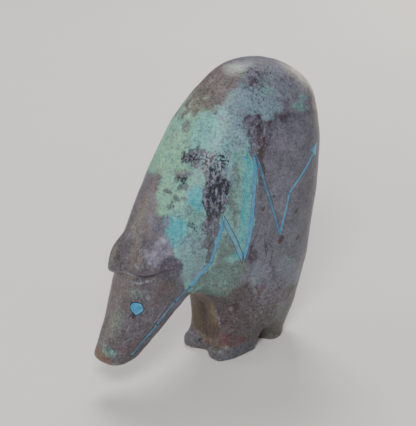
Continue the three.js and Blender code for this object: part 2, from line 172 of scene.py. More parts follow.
@dataclass
class Carving:
    """The bear's form as one signed distance in millimetres, negative inside the stone."""

    length: float = 60.0
    width: float = 24.0
    height: float = 67.5
    outline: list[Point] = field(default_factory=lambda: [
        # In percent of the length from the middle and of the height
        # Heel, rump, hump, nape and crown
        (34.5, 0.0), (40.0, 10.0), (43.0, 25.0), (46.5, 43.5), (49.0, 61.0), (50.0, 74.5), (47.5, 88.0),
        (36.5, 96.5), (23.0, 100.0), (10.5, 98.5), (-1.5, 91.0), (-12.0, 79.0), (-21.5, 67.0),
        (-28.5, 56.5), (-34.0, 47.5),
        # Forehead, nose, chin, jaw, throat, chest and toes
        (-38.0, 38.5), (-42.5, 27.0), (-48.5, 16.5), (-50.0, 12.5), (-45.5, 10.6), (-38.5, 12.0),
        (-29.0, 19.5), (-21.5, 25.0), (-15.5, 28.6), (-8.0, 26.6), (-1.0, 20.5), (1.0, 10.5), (0.0, 0.0),
        # Closed well under the ground, which cuts the soles flat
        (0.0, -10.0), (34.5, -10.0),
    ])
    sections: list[Section] = field(default_factory=lambda: [
        Section((22.0, 95.5), 73.0, 13.0),
        Section((18.0, 72.0), 100.0, 15.0),
        Section((27.0, 42.0), 98.0, 13.0),
        Section((-1.5, 60.0), 97.0, 13.0),
        Section((-18.0, 51.0), 84.0, 11.0),
        Section((-35.0, 36.0), 67.0, 8.0),
        Section((-25.0, 21.5), 54.0, 2.6),
        Section((-10.0, 30.5), 66.0, 2.6),
        Section((-46.5, 12.0), 33.0, 2.4),
        Section((-1.5, 18.5), 65.0, 2.6),
        Section((3.5, 6.0), 57.0, 2.2),
        Section((20.0, 18.5), 85.0, 8.0),
        Section((31.5, 6.0), 51.0, 4.5),
    ])
    section_reach: float = 6.5
    section_power: float = 2.5
    outline_steps: int = 6
    search_rounds: int = 15
    slope_step: float = 1e-4
    ears: tuple[Place, ...] = ((-33.8, -19.5, 45.6), (-35.2, 16.8, 43.4))
    ear_size: Place = (3.8, 5.0, 8.8)
    ear_lean: float = math.radians(26.0)
    ear_blend: float = 1.8
    ear_floor_blend: float = 0.6
    ear_floor_place: Point = (-37.5, 40.6)
    ear_floor_slope: float = 0.04
    ear_floor_roll: float = 0.2
    crown_step: float = 0.45
    crown_step_fade: float = 6.0
    crown_fade: Point = (-35.0, -21.5)
    foot_place: Point = (4.7, 13.6)
    foot_size: Place = (8.4, 6.2, 3.0)
    foot_corner: float = 1.4
    foot_blend: float = 1.6
    sole_edge: float = 0.5
    hollow_widths: Point = (5.6, 2.0)
    front_hollow: tuple[Point, Point] = ((-4.3, -3.0), (-2.3, 16.5))
    rear_hollow: tuple[Point, Point] = ((39.0, -3.0), (44.0, 18.0))
    hollow_blend: float = 1.5
    notch_place: Point = (20.3, 35.5)
    notch_size: Place = (4.8, 10.0, 8.0)

    def __post_init__(self) -> None:
        """Lays out the side outline once, because every distance needs it."""
        self.chain = closed_curve([self.side(place) for place in self.outline], self.outline_steps)

    def side(self, place: Point) -> Point:
        """A place in the side view, from percent of length and height to millimetres."""
        return place[0] * self.length / 100.0, place[1] * self.height / 100.0

    def outline_distance(self, x: Array, z: Array) -> Array:
        """Signed distance to the side outline, negative inside.

        Args:
            x: Places along the bear.
            z: Heights.

        Returns:
            One distance for each pair of them.
        """
        nearest = np.full(np.broadcast(x, z).shape, np.inf)
        inside = np.zeros(nearest.shape, bool)
        for start, end in zip(self.chain, np.roll(self.chain, -1, axis=0)):
            edge = end - start
            towards_x = x - start[0]
            towards_z = z - start[1]
            along = np.clip((towards_x * edge[0] + towards_z * edge[1]) / (edge @ edge), 0.0, 1.0)
            gap = (towards_x - edge[0] * along) ** 2 + (towards_z - edge[1] * along) ** 2
            nearest = np.minimum(nearest, gap)
            if edge[1] != 0.0:
                crosses = (start[1] > z) != (end[1] > z)
                inside ^= crosses & (x < start[0] + towards_z * edge[0] / edge[1])
        return np.where(inside, -1.0, 1.0) * np.sqrt(nearest)

    def section_at(self, x: Array, z: Array) -> tuple[Array, Array]:
        """Blends the nearest cross-sections.

        Args:
            x: Places along the bear.
            z: Heights.

        Returns:
            The half width and the rounding at each pair of them.
        """
        half_width = 0.0
        rounding = 0.0
        total = 0.0
        for section in self.sections:
            centre = self.side(section.place)
            gap = np.hypot(x - centre[0], z - centre[1]) / self.section_reach
            weight = np.exp(-0.5 * gap * gap) + np.finfo(float).eps
            half_width = half_width + weight * section.width * self.width / 200.0
            rounding = rounding + weight * section.round
            total = total + weight
        return half_width / total, rounding / total

    def above_ear_floor(self, x: Array, y: Array, z: Array) -> Array:
        """Height above the step under the ears and across the crown.

        Args:
            x: Places along the bear.
            y: Places across it.
            z: Heights.

        Returns:
            One height for each point.
        """
        place = self.side(self.ear_floor_place)
        rise = z - place[1] - self.ear_floor_slope * (x - place[0]) + self.ear_floor_roll * y
        return rise / math.hypot(1.0, self.ear_floor_slope)

    @staticmethod
    def ellipsoid(x: Array, y: Array, z: Array, size: Sequence[float]) -> Array:
        """Rough signed distance to an ellipsoid of three full sizes at the origin."""
        scaled = 2.0 * np.sqrt((x / size[0]) ** 2 + (y / size[1]) ** 2 + (z / size[2]) ** 2)
        return (scaled - 1.0) * min(size) / 2.0

    def ear(self, x: Array, y: Array, z: Array, place: Sequence[float]) -> Array:
        """An upright almond that leans back along the nape and ends flat on the step.

        Args:
            x: Places along the bear.
            y: Places across it.
            z: Heights.
            place: The ear's middle, in percent of length, width and height.

        Returns:
            The signed distance to one ear.
        """
        off_x = x - place[0] * self.length / 100.0
        off_y = y - place[1] * self.width / 100.0
        off_z = z - place[2] * self.height / 100.0
        outward = off_x * math.cos(self.ear_lean) - off_z * math.sin(self.ear_lean)
        upward = off_x * math.sin(self.ear_lean) + off_z * math.cos(self.ear_lean)
        almond = self.ellipsoid(outward, off_y, upward, self.ear_size)
        return blend_cut(almond, self.above_ear_floor(x, y, z), self.ear_floor_blend)

    def foot(self, x: Array, y: Array, z: Array) -> Array:
        """Both front feet: blocks with rounded corners.

        Args:
            x: Places along the bear.
            y: Places across it.
            z: Heights.

        Returns:
            The signed distance to the nearer foot.
        """
        corner = self.foot_corner
        from_x = np.abs(x - self.foot_place[0] * self.length / 100.0)
        from_y = np.abs(np.abs(y) - self.foot_place[1] * self.width / 100.0)
        off_x = from_x - (self.foot_size[0] / 2.0 - corner)
        off_y = from_y - (self.foot_size[1] / 2.0 - corner)
        off_z = np.abs(z) - (self.foot_size[2] - corner)
        outside = np.sqrt(sum(np.maximum(off, 0.0) ** 2 for off in (off_x, off_y, off_z)))
        return outside + np.minimum(np.maximum(np.maximum(off_x, off_y), off_z), 0.0) - corner

    def leg_hollow(self, x: Array, y: Array, z: Array, line: tuple[Point, Point]) -> Array:
        """An upright tapering groove between two legs.

        Args:
            x: Places along the bear.
            y: Places across it.
            z: Heights.
            line: The groove's lower and upper end, in percent of length and height.

        Returns:
            The signed distance to it.
        """
        low_x, low_z = self.side(line[0])
        top_x, top_z = self.side(line[1])
        rise_x = top_x - low_x
        rise_z = top_z - low_z
        along = np.clip(((x - low_x) * rise_x + (z - low_z) * rise_z) / (rise_x**2 + rise_z**2), 0.0, 1.0)
        radius = (self.hollow_widths[0] + (self.hollow_widths[1] - self.hollow_widths[0]) * along) / 2.0
        return np.sqrt((x - low_x - rise_x * along) ** 2 + y**2 + (z - low_z - rise_z * along) ** 2) - radius

    def distance(self, x: Array, y: Array, z: Array) -> Array:
        """Signed distance to the whole carving, negative inside.

        Args:
            x: Places along the bear.
            y: Places across it.
            z: Heights; all three broadcast together.

        Returns:
            One distance for each point.
        """
        half_width, rounding = self.section_at(x, z)
        from_outline = np.maximum(self.outline_distance(x, z) + rounding, 0.0) / rounding
        power = self.section_power
        size = (from_outline**power + (np.abs(y) / half_width) ** power) ** (1.0 / power)
        shape = (size - 1.0) * np.minimum(half_width, rounding)
        above = self.above_ear_floor(x, y, z)
        on_nape = smooth_step(above, -self.crown_step, self.crown_step)
        on_nape = on_nape * np.exp(-((above / self.crown_step_fade) ** 2))
        fade = [percent * self.length / 100.0 for percent in self.crown_fade]
        shape = shape - self.crown_step * on_nape * (1.0 - smooth_step(x, *fade))
        for place in self.ears:
            shape = blend_union(shape, self.ear(x, y, z, place), self.ear_blend)
        shape = blend_union(shape, self.foot(x, y, z), self.foot_blend)
        notch_x = x - self.notch_place[0] * self.length / 100.0
        notch_y = np.abs(y) - self.notch_place[1] * self.width / 100.0
        shape = blend_cut(shape, self.ellipsoid(notch_x, notch_y, z, self.notch_size), self.hollow_blend)
        for line in (self.front_hollow, self.rear_hollow):
            shape = blend_cut(shape, self.leg_hollow(x, y, z, line), self.hollow_blend)
        return blend_cut(shape, z, self.sole_edge)

    def slopes(self, points: Array) -> tuple[Array, Array]:
        """How the distance changes round points on or near the surface.

        Args:
            points: The points, one row each.

        Returns:
            The distances, and how steeply they change along each axis.
        """
        step = self.slope_step
        here = self.distance(*points.T)
        slope = np.empty_like(points)
        for axis in range(3):
            offset = np.zeros(3)
            offset[axis] = step
            slope[:, axis] = (self.distance(*(points + offset).T) - here) / step
        return here, slope

    def normals(self, points: Array) -> Array:
        """Outward directions at points on or near the surface, one row each."""
        _, slope = self.slopes(points)
        return slope / np.linalg.norm(slope, axis=1, keepdims=True)

    def settle(self, points: Array, rounds: int = 2) -> Array:
        """Moves points onto the surface along its normals.

        Args:
            points: Points near the surface, one row each.
            rounds: How often they are moved.

        Returns:
            The points, moved.
        """
        for _ in range(rounds):
            here, slope = self.slopes(points)
            points = points - slope * (here / (slope * slope).sum(axis=1))[:, None]
        return points

    def flank(self, x: Array, z: Array, side: int) -> Array:
        """Points where the flank lies at places in the side view.

        Args:
            x: Places along the bear.
            z: Heights.
            side: -1 for the left flank and 1 for the right.

        Returns:
            Points on the surface, one row each.
        """
        inner = np.zeros(len(x))
        outer = np.full(len(x), self.width)
        for _ in range(self.search_rounds):
            middle = (inner + outer) / 2.0
            inside = self.distance(x, side * middle, z) < 0.0
            inner = np.where(inside, middle, inner)
            outer = np.where(inside, outer, middle)
        return np.stack([x, side * inner, z], axis=1)


@dataclass
class SurfaceNet:
    """A net of four-sided faces laid over a signed distance sampled on an even grid."""

    lines: tuple[Array, Array, Array]
    values: Array

    def corners(self) -> tuple[Array, Array]:
        """One corner for each cell that the surface passes through.

        Returns:
            The cells' indices and their corners, one row each.
        """
        inside = self.values < 0.0
        size = [count - 1 for count in self.values.shape]
        shifts = [(i, j, k) for i in (0, 1) for j in (0, 1) for k in (0, 1)]
        near = [inside[i:size[0] + i, j:size[1] + j, k:size[2] + k] for i, j, k in shifts]
        stack = np.stack(near)
        cells = np.argwhere(stack.any(axis=0) & ~stack.all(axis=0))
        total = np.zeros((len(cells), 3))
        count = np.zeros(len(cells))
        for axis in range(3):
            step = np.eye(3, dtype=int)[axis]
            for shift in (s for s in shifts if s[axis] == 0):
                start = cells + shift
                from_value = self.values[tuple(start.T)]
                to_value = self.values[tuple((start + step).T)]
                crosses = (from_value < 0.0) != (to_value < 0.0)
                share = np.where(crosses, from_value / np.where(crosses, from_value - to_value, 1.0), 0.0)
                for other in range(3):
                    place = self.lines[other][start[:, other]]
                    if other == axis:
                        place = place + share * (self.lines[other][start[:, other] + 1] - place)
                    total[:, other] += np.where(crosses, place, 0.0)
                count += crosses
        return cells, total / count[:, None]

    def build(self) -> tuple[Array, Array]:
        """Joins the corners up.

        Returns:
            The net's corners, and its faces as rows of four corner numbers, facing outwards.
        """
        cells, corners = self.corners()
        number = np.full(self.values.shape, -1)
        number[tuple(cells.T)] = np.arange(len(cells))
        inside = self.values < 0.0
        faces = []
        for axis in range(3):
            step, second, third = (np.eye(3, dtype=int)[(axis + turn) % 3] for turn in range(3))
            stop = [size - (1 if other == axis else 0) for other, size in enumerate(self.values.shape)]
            near = inside[: stop[0], : stop[1], : stop[2]]
            far = inside[step[0]:, step[1]:, step[2]:]
            edges = np.argwhere(near != far)
            around = (second + third, third, 0 * second, second)
            loop = np.stack([number[tuple((edges - shift).T)] for shift in around], axis=1)
            outward = near[tuple(edges.T)]
            loop[~outward] = loop[~outward][:, ::-1]
            faces.append(loop)
        return corners, np.concatenate(faces)


def mesh_object(name: str, corners: Array, faces: Sequence[Sequence[int]],
                crease: float = 35.0) -> bpy.types.Object:
    """Makes a smooth-shaded mesh object.

    Args:
        name: The object's name.
        corners: Corners in millimetres, one row each.
        faces: Corner numbers of each face.
        crease: Edges that turn by more than this many degrees stay sharp.

    Returns:
        The object, linked into the scene.
    """
    mesh = bpy.data.meshes.new(name)
    mesh.from_pydata((np.asarray(corners) * MM).tolist(), [], [list(map(int, face)) for face in faces])
    mesh.update()
    piece = bpy.data.objects.new(name, mesh)
    bpy.context.scene.collection.objects.link(piece)
    shade(piece, crease)
    return piece


def tube_faces(rows: int, count: int) -> list[list[int]]:
    """Faces of a closed tube.

    Args:
        rows: How many rings of corners it has.
        count: How many corners each ring has; they run clockwise when seen from the last ring.

    Returns:
        Corner numbers of each face, facing outwards: first both ends and then the sides.
    """
    faces = [list(range(count)), [(rows - 1) * count + k for k in reversed(range(count))]]
    for low in range(0, (rows - 1) * count, count):
        high = low + count
        for k in range(count):
            after = (k + 1) % count
            faces.append([low + after, low + k, high + k, high + after])
    return faces


def shade(piece: bpy.types.Object, crease: float) -> None:
    """Shades a piece smooth, apart from edges that turn by more than crease degrees."""
    piece.data.polygons.foreach_set("use_smooth", [True] * len(piece.data.polygons))
    piece.data.set_sharp_from_angle(angle=math.radians(crease))


def cut(piece: bpy.types.Object, cutters: Sequence[bpy.types.Object]) -> None:
    """Cuts other meshes out of a piece, and deletes them.

    Args:
        piece: What is cut.
        cutters: The closed meshes that are taken out of it.
    """
    for cutter in cutters:
        step = piece.modifiers.new(cutter.name, "BOOLEAN")
        step.operation = "DIFFERENCE"
        step.solver = "MANIFOLD"
        step.object = cutter
    whole = piece.data
    piece.data = bpy.data.meshes.new_from_object(piece.evaluated_get(bpy.context.evaluated_depsgraph_get()))
    piece.data.name = whole.name
    bpy.data.meshes.remove(whole)
    piece.modifiers.clear()
    for cutter in cutters:
        bpy.data.objects.remove(cutter)


@dataclass(frozen=True)
class Mark:
    """A straight scratch, crease or ridge on the stone; its height is negative where it is cut in."""

    start: Place
    end: Place
    width: float
    height: float
    taper: Point = (-0.05, 0.12)

    def at(self, x: Array, y: Array, z: Array) -> Array:
        """Height of the mark, tapering out towards its ends.

        Args:
            x: Places along the bear.
            y: Places across it.
            z: Heights.

        Returns:
            One height for each point.
        """
        points = np.stack([x, y, z], axis=-1) - np.array(self.start)
        along = np.array(self.end) - np.array(self.start)
        share = points @ along / (along @ along)
        gap = np.linalg.norm(points - np.clip(share, 0.0, 1.0)[..., None] * along, axis=-1)
        fade = smooth_step(0.5 - np.abs(share - 0.5), *self.taper)
        return self.height * bump(gap, self.width) * fade


@dataclass(frozen=True)
class Pit:
    """A small chip out of the stone."""

    place: Place
    width: float
    depth: float

    def at(self, x: Array, y: Array, z: Array) -> Array:
        """Height of the pit's floor at each point, which is negative."""
        gap = np.linalg.norm(np.stack([x, y, z], axis=-1) - np.array(self.place), axis=-1)
        return -self.depth * bump(gap, self.width)


@dataclass
class HandWork:
    """What the carver's hand and wear have left on the smooth form: ripples, marks and chips."""

    ripples: tuple[Ripple, ...] = (
        Ripple(wavelength=11.0, height=0.07, seed=3),
        Ripple(wavelength=4.0, height=0.025, seed=5),
        Ripple(wavelength=1.7, height=0.008, seed=8),
    )
    marks: tuple[Mark, ...] = (
        # Edge of the jaw with the mouth under it, cut on both sides
        Mark((-24.0, -5.5, 14.2), (-17.2, -7.5, 21.2), 1.0, 0.2),
        Mark((-23.6, -5.4, 13.4), (-16.6, -7.5, 20.6), 0.8, -0.2),
        Mark((-23.6, 5.4, 13.4), (-16.6, 7.5, 20.6), 0.9, -0.2),
        # Ridge down the nape and round the front of the left ear
        Mark((-17.3, 3.9, 37.1), (-19.0, 0.2, 35.2), 1.5, 0.12),
        Mark((-19.0, 0.2, 35.2), (-20.9, -3.6, 33.6), 1.4, 0.18),
        Mark((-20.9, -3.6, 33.6), (-21.8, -2.7, 31.3), 1.3, 0.26),
        Mark((-21.8, -2.7, 31.3), (-22.4, -2.4, 29.4), 1.2, 0.2),
        # Crease under the ears
        Mark((-23.0, 1.5, 27.3), (-22.8, -1.5, 27.8), 1.0, -0.2),
        Mark((-22.8, -1.5, 27.8), (-22.6, -5.6, 28.6), 1.2, -0.3),
        Mark((-22.6, -5.6, 28.6), (-15.4, -8.6, 29.2), 1.3, -0.26),
        # Edge between the front and the side of the left foreleg, and the hollow before it
        Mark((0.1, -3.4, 14.0), (0.7, -4.0, 7.4), 1.3, 0.22),
        Mark((-0.2, 0.2, 12.8), (0.6, 0.9, 6.6), 2.8, -0.3),
        Mark((0.0, -1.6, 12.6), (0.5, -1.8, 8.6), 1.2, 0.12),
        # Scratches on the hump and the shoulder
        Mark((-5.0, -2.4, 56.6), (-6.0, -1.2, 55.4), 0.6, -0.1),
        Mark((-8.0, -5.0, 51.5), (-5.5, -7.4, 51.9), 0.7, -0.12),
    )
    pits: tuple[Pit, ...] = (
        # Beside the left eye
        Pit((-24.4, -3.9, 19.2), 1.3, 0.5),
        # On the shoulder, the flank and the haunch
        Pit((2.1, -7.7, 14.0), 0.9, 0.2),
        Pit((0.7, -6.2, 9.8), 0.9, 0.2),
        Pit((3.4, -10.2, 23.9), 1.0, 0.25),
        Pit((12.4, -11.5, 28.3), 0.9, 0.2),
        Pit((-4.3, -10.6, 46.0), 0.9, 0.15),
        Pit((-6.4, -10.4, 41.5), 1.0, 0.15),
        Pit((-12.3, -9.0, 37.5), 0.9, 0.18),
        Pit((-11.2, -4.2, 47.0), 0.9, 0.15),
    )
    sole_fade: float = 1.5

    def at(self, points: Array) -> Array:
        """Height above the smooth form; the soles have none.

        Args:
            points: Points on the form, one row each.

        Returns:
            One height for each point.
        """
        x, y, z = points.T
        total = sum(part.at(x, y, z) for part in (*self.ripples, *self.marks, *self.pits))
        return total * smooth_step(z, 0.0, self.sole_fade)


@dataclass
class Stone:
    """The carved and worn surface that everything else is set into."""

    carving: Carving = field(default_factory=Carving)
    hand_work: HandWork = field(default_factory=HandWork)

    def raise_by(self, points: Array, height: Array | float) -> Array:
        """Points at a height above the worn surface, over points on the smooth form."""
        lift = self.hand_work.at(points) + height
        return points + self.carving.normals(points) * lift[:, None]

    def on_flank(self, places: Array, height: Array | float, side: int) -> Array:
        """Points at a height above the worn flank.

        Args:
            places: Places in the side view, one row each.
            height: Height above the surface, for all of them or for each.
            side: -1 for the left flank and 1 for the right.

        Returns:
            The points, one row each.
        """
        return self.raise_by(self.carving.flank(places[:, 0], places[:, 1], side), height)


@dataclass
class BearBody:
    """The whole bear, carved in one."""

    stone: Stone
    cell: float = 0.4
    margin: float = 1.2
    sole_snap: float = 0.02
    crease: float = 40.0
    name: str = "carved_stone_bear"

    def build(self) -> bpy.types.Object:
        """Lays the net over the carving, settles it and adds the handwork.

        Returns:
            The body, not yet cut for the inlays.
        """
        carving = self.stone.carving
        reaches = [size / 2.0 + self.margin for size in (carving.length, carving.width)]
        spans = [(-reach, reach) for reach in reaches]
        spans.append((-self.cell / 2.0, carving.height + self.margin))
        lines = tuple(np.arange(low, high + self.cell, self.cell) for low, high in spans)
        values = carving.distance(*np.meshgrid(*lines, indexing="ij", sparse=True))
        corners, faces = SurfaceNet(lines, values).build()
        corners = carving.settle(corners)
        corners = self.stone.raise_by(corners, 0.0)
        corners[:, 2] = np.where(corners[:, 2] < self.sole_snap, 0.0, corners[:, 2])
        return mesh_object(self.name, corners, faces)

    def finish(self, body: bpy.types.Object, sunk: Sequence[bpy.types.Object]) -> None:
        """Cuts the sockets and the groove out of the body, and shades what they leave."""
        cut(body, sunk)
        shade(body, self.crease)


@dataclass(frozen=True)
class Bar:
    """One straight sliver of the heart line, from joint to joint in the side view."""

    name: str
    start: Point
    end: Point
    start_width: float
    end_width: float
    start_turn: float = 0.0
    end_turn: float = 0.0


@dataclass
class Heartline:
    """The line of inlaid slivers from the mouth to the arrowhead, on the left flank."""

    stone: Stone
    joints: tuple[tuple[str, Point, float], ...] = (
        # Name, start in percent of length and height, width
        ("jaw_front", (-42.5, 15.0), 0.6),
        ("jaw_back", (-33.0, 24.4), 0.65),
        ("throat", (-25.0, 30.6), 0.9),
        ("neck", (-18.5, 34.0), 1.0),
        ("rise_1", (-10.3, 41.0), 0.95),
        ("fall_1", (-7.5, 57.0), 1.0),
        ("rise_2", (5.3, 37.8), 1.0),
        ("fall_2", (7.2, 75.8), 0.8),
        ("rise_3", (20.2, 44.0), 0.55),
        ("shaft", (24.3, 57.8), 0.6),
    )
    arrow_tip: Point = (40.6, 71.2)
    arrow_width: float = 3.6
    arrow_length: float = 2.8
    tip_width: float = 0.3
    joint_gap: float = 0.12
    glue_gap: float = 0.1
    mitre_limit: float = 1.7
    groove_depth: float = 0.8
    sliver_depth: float = 0.7
    groove_top: float = 0.8
    edge_wear: float = 0.09
    row_step: float = 0.35
    largest_inset: float = 0.3
    widest_bevel: float = 0.45

    def bars(self) -> list[Bar]:
        """Lays the slivers out from joint to joint.

        Returns:
            The slivers in order, with the turns at their joints.
        """
        side = self.stone.carving.side
        points = [np.array(side(place)) for _, place, _ in self.joints]
        tip = np.array(side(self.arrow_tip))
        shaft = (tip - points[-1]) / np.linalg.norm(tip - points[-1])
        points += [tip - shaft * self.arrow_length, tip]
        directions = np.diff(points, axis=0)
        turns = [0.0]
        for first, second in zip(directions, directions[1:]):
            turns.append(math.atan2(first[0] * second[1] - first[1] * second[0], first @ second))
        ends = [tuple(point) for point in points]
        found = [
            Bar(name, ends[index], ends[index + 1], width, width, turns[index], turns[index + 1])
            for index, (name, _, width) in enumerate(self.joints)
        ]
        found.append(Bar("arrowhead", ends[-2], ends[-1], self.arrow_width, self.tip_width))
        return found

    def past_joint(self, half: float, turn: float, side: int, margin: float) -> float:
        """How far past a joint one edge of a sliver runs.

        Args:
            half: Half the sliver's width.
            turn: The turn from this sliver's direction to its neighbour's.
            side: Which edge, 1 for the left of the sliver's direction and -1 for the right.
            margin: What is added all round, for the groove.

        Returns:
            The distance, negative where the edge stops short of the joint.
        """
        mitre = -side * (half + margin) * math.tan(turn / 2.0)
        limited = min(mitre, half * self.mitre_limit + margin)
        return limited + (margin - self.joint_gap / 2.0) / math.cos(turn / 2.0)

    def edge(self, bar: Bar, side: int, margin: float) -> tuple[Array, Array]:
        """One long edge of a sliver, in the side view.

        Args:
            bar: The sliver.
            side: Which edge, 1 for the left of the sliver's direction and -1 for the right.
            margin: What is added all round, for the groove.

        Returns:
            Both ends of the edge.
        """
        start = np.array(bar.start)
        end = np.array(bar.end)
        direction = (end - start) / np.linalg.norm(end - start)
        across = np.array([-direction[1], direction[0]]) * side
        start_half = bar.start_width / 2.0
        end_half = bar.end_width / 2.0
        first = start - direction * self.past_joint(start_half, bar.start_turn, side, margin)
        last = end + direction * self.past_joint(end_half, bar.end_turn, side, margin)
        return first + across * (start_half + margin), last + across * (end_half + margin)

    def loft(self, bar: Bar, margin: float, profile: Sequence[Place], name: str,
             end_drop: float = 0.0) -> bpy.types.Object:
        """Runs a cross-section along a sliver, following the flank.

        Args:
            bar: The sliver.
            margin: What is added all round, for the groove.
            profile: The cross-section: -1 to 1 across, millimetres inwards from that edge, and height.
            name: The new object's name.
            end_drop: How far the upper corners of both ends are worn down.

        Returns:
            A closed mesh object.
        """
        right = self.edge(bar, -1, margin)
        left = self.edge(bar, 1, margin)
        length = float(np.linalg.norm(left[1] - left[0]))
        rows = max(3, int(length / self.row_step))
        inset = min(self.largest_inset, self.edge_wear / length)
        shares = [0.0, inset, *np.linspace(inset, 1.0 - inset, rows)[1:-1], 1.0 - inset, 1.0]
        places = []
        heights = []
        for index, share in enumerate(shares):
            low = right[0] + (right[1] - right[0]) * share
            high = left[0] + (left[1] - left[0]) * share
            width = float(np.linalg.norm(high - low))
            drop = end_drop if index in (0, len(shares) - 1) else 0.0
            for across, inwards, height in profile:
                bevel = min(inwards / width, self.widest_bevel)
                part = 0.5 + across / 2.0 - math.copysign(bevel, across)
                places.append(low + (high - low) * part)
                heights.append(height - drop if height > -self.edge_wear * 2.0 else height)
        corners = self.stone.on_flank(np.array(places), np.array(heights), -1)
        faces = [face[::-1] for face in tube_faces(len(shares), len(profile))]
        return mesh_object(name, corners, faces)

    def groove(self, bar: Bar) -> bpy.types.Object:
        """The shape that is cut out of the stone for a sliver.

        Args:
            bar: The sliver.

        Returns:
            A closed mesh object.
        """
        floor = [(across, 0.0, -self.groove_depth) for across in (-1.0, 0.0, 1.0)]
        top = [(across, 0.0, self.groove_top) for across in (1.0, 0.0, -1.0)]
        return self.loft(bar, self.glue_gap, floor + top, "groove_" + bar.name)

    def sliver(self, bar: Bar) -> bpy.types.Object:
        """The sliver of turquoise itself, rubbed down with the stone and worn along its edges.

        Args:
            bar: The sliver.

        Returns:
            A closed mesh object.
        """
        depth = -self.sliver_depth
        wear = self.edge_wear
        # From a side's worn edge to its flat top; the middle stands a little proud
        edge = ((0.0, -wear), (0.4 * wear, -0.3 * wear), (wear, 0.0))
        rising = [(1.0, inwards, height) for inwards, height in edge]
        falling = [(-1.0, inwards, height) for inwards, height in reversed(edge)]
        profile = [(-1.0, 0.0, depth), (1.0, 0.0, depth), *rising, (0.0, 0.0, 0.2 * wear), *falling]
        return self.loft(bar, 0.0, profile, "heartline_sliver_" + bar.name, end_drop=wear)


@dataclass
class EyePlug:
    """A plug of turquoise set into a socket on one side of the face."""

    stone: Stone
    side: int
    place: Point
    outline: tuple[Point, ...] = (
        # Towards the nose and up, from the middle
        (-1.1, 1.1), (0.0, 1.4), (1.17, 1.15), (1.6, 0.2),
        (0.95, -0.8), (0.05, -1.4), (-0.85, -0.8), (-1.6, 0.0),
    )
    outline_steps: int = 5
    rim_gap: float = 0.16
    socket_shift: float = 0.05
    socket_depth: float = 1.1
    socket_top: float = 2.0
    plug_depth: float = 1.0
    dome: float = 0.2
    dome_shares: tuple[float, ...] = (0.85, 0.7, 0.55, 0.4, 0.25, 0.1)
    edge_drop: float = 0.12
    edge_round: float = 0.06

    def axes(self) -> tuple[Array, Array, Array, Array]:
        """Finds the plug's place and how it is turned.

        Returns:
            Its centre on the face, and the directions towards the nose, upwards and outwards.
        """
        carving = self.stone.carving
        x, z = carving.side(self.place)
        centre = carving.flank(np.array([x]), np.array([z]), self.side)
        outward = carving.normals(centre)[0]
        upward = np.array([0.0, 0.0, 1.0]) - outward * outward[2]
        upward /= np.linalg.norm(upward)
        return centre[0], np.cross(upward, outward) * self.side, upward, outward

    def rings(self, rings: Sequence[Place]) -> tuple[Array, list[list[int]]]:
        """Corners and faces of a plug made of rings.

        Args:
            rings: For each ring its share of the outline, what is added to that, and its height.

        Returns:
            Corners in millimetres and the faces.
        """
        centre, across, upward, _ = self.axes()
        loop = closed_curve(self.outline, self.outline_steps)
        reach = np.linalg.norm(loop, axis=1, keepdims=True)
        flat = []
        heights = []
        for share, extra, height in rings:
            places = loop * share + loop / reach * extra
            flat.append(centre + places[:, :1] * across + places[:, 1:] * upward)
            heights += [height] * len(loop)
        settled = self.stone.carving.settle(np.concatenate(flat))
        faces = tube_faces(len(rings), len(loop))
        # Seen from outside, the outline runs the other way round on the left
        if self.side < 0:
            faces = [face[:1] + face[:0:-1] for face in faces]
        return self.stone.raise_by(settled, np.array(heights)), faces

    def socket(self) -> bpy.types.Object:
        """The shape that is cut out of the stone for the plug.

        Returns:
            A closed mesh object.
        """
        levels = [(1.0, self.rim_gap, height) for height in (-self.socket_depth, self.socket_top)]
        corners, faces = self.rings(levels)
        _, _, upward, _ = self.axes()
        return mesh_object("socket", corners + upward * self.socket_shift, faces)

    def plug(self) -> bpy.types.Object:
        """The plug itself, slightly domed.

        Returns:
            A closed mesh object.
        """
        top = self.dome - self.edge_drop
        levels = [(1.0, 0.0, -self.plug_depth), (1.0, 0.0, -self.edge_drop)]
        levels.append((1.0, -self.edge_round, -0.3 * self.edge_drop))
        levels += [(share, 0.0, top * (1.0 - share**2)) for share in self.dome_shares]
        corners, faces = self.rings(levels)
        name = "eye_plug_left" if self.side < 0 else "eye_plug_right"
        return mesh_object(name, corners, faces)


class Mineral(Enum):
    """The colours that run through the stone, in linear red, green and blue."""

    HEATHER = (0.094, 0.083, 0.094)
    BARK = (0.086, 0.072, 0.070)
    DUSK = (0.066, 0.054, 0.078)
    PLUM = (0.045, 0.026, 0.040)
    UMBER = (0.058, 0.038, 0.036)
    RUST = (0.100, 0.048, 0.046)
    AMBER = (0.145, 0.080, 0.050)
    CLAY = (0.150, 0.118, 0.122)
    TAN = (0.170, 0.130, 0.070)
    BRONZE = (0.080, 0.050, 0.026)
    LEAD = (0.022, 0.024, 0.034)
    SLATE = (0.092, 0.104, 0.125)
    FOG = (0.200, 0.225, 0.280)
    LILAC = (0.230, 0.220, 0.310)
    PALE_BLUE = (0.175, 0.265, 0.325)
    TURQUOISE = (0.136, 0.335, 0.300)
    CYAN = (0.045, 0.350, 0.410)
    SKY = (0.140, 0.400, 0.420)
    SEA_GREEN = (0.215, 0.480, 0.305)
    SAGE = (0.118, 0.165, 0.155)
    OLIVE = (0.085, 0.095, 0.070)


class Habit(Enum):
    """How finely a mineral breaks up: the size of its lumps in millimetres."""

    CLOUD = 4.0
    CLOT = 1.9
    FLAKE = 1.05
    SPECK = 0.55
    STREAK = 1.3


@dataclass(frozen=True)
class Lobe:
    """A rounded part of a patch: an ellipsoid in millimetres, turned up in the side view by degrees."""

    place: Place
    reach: Place
    turn: float = 0.0


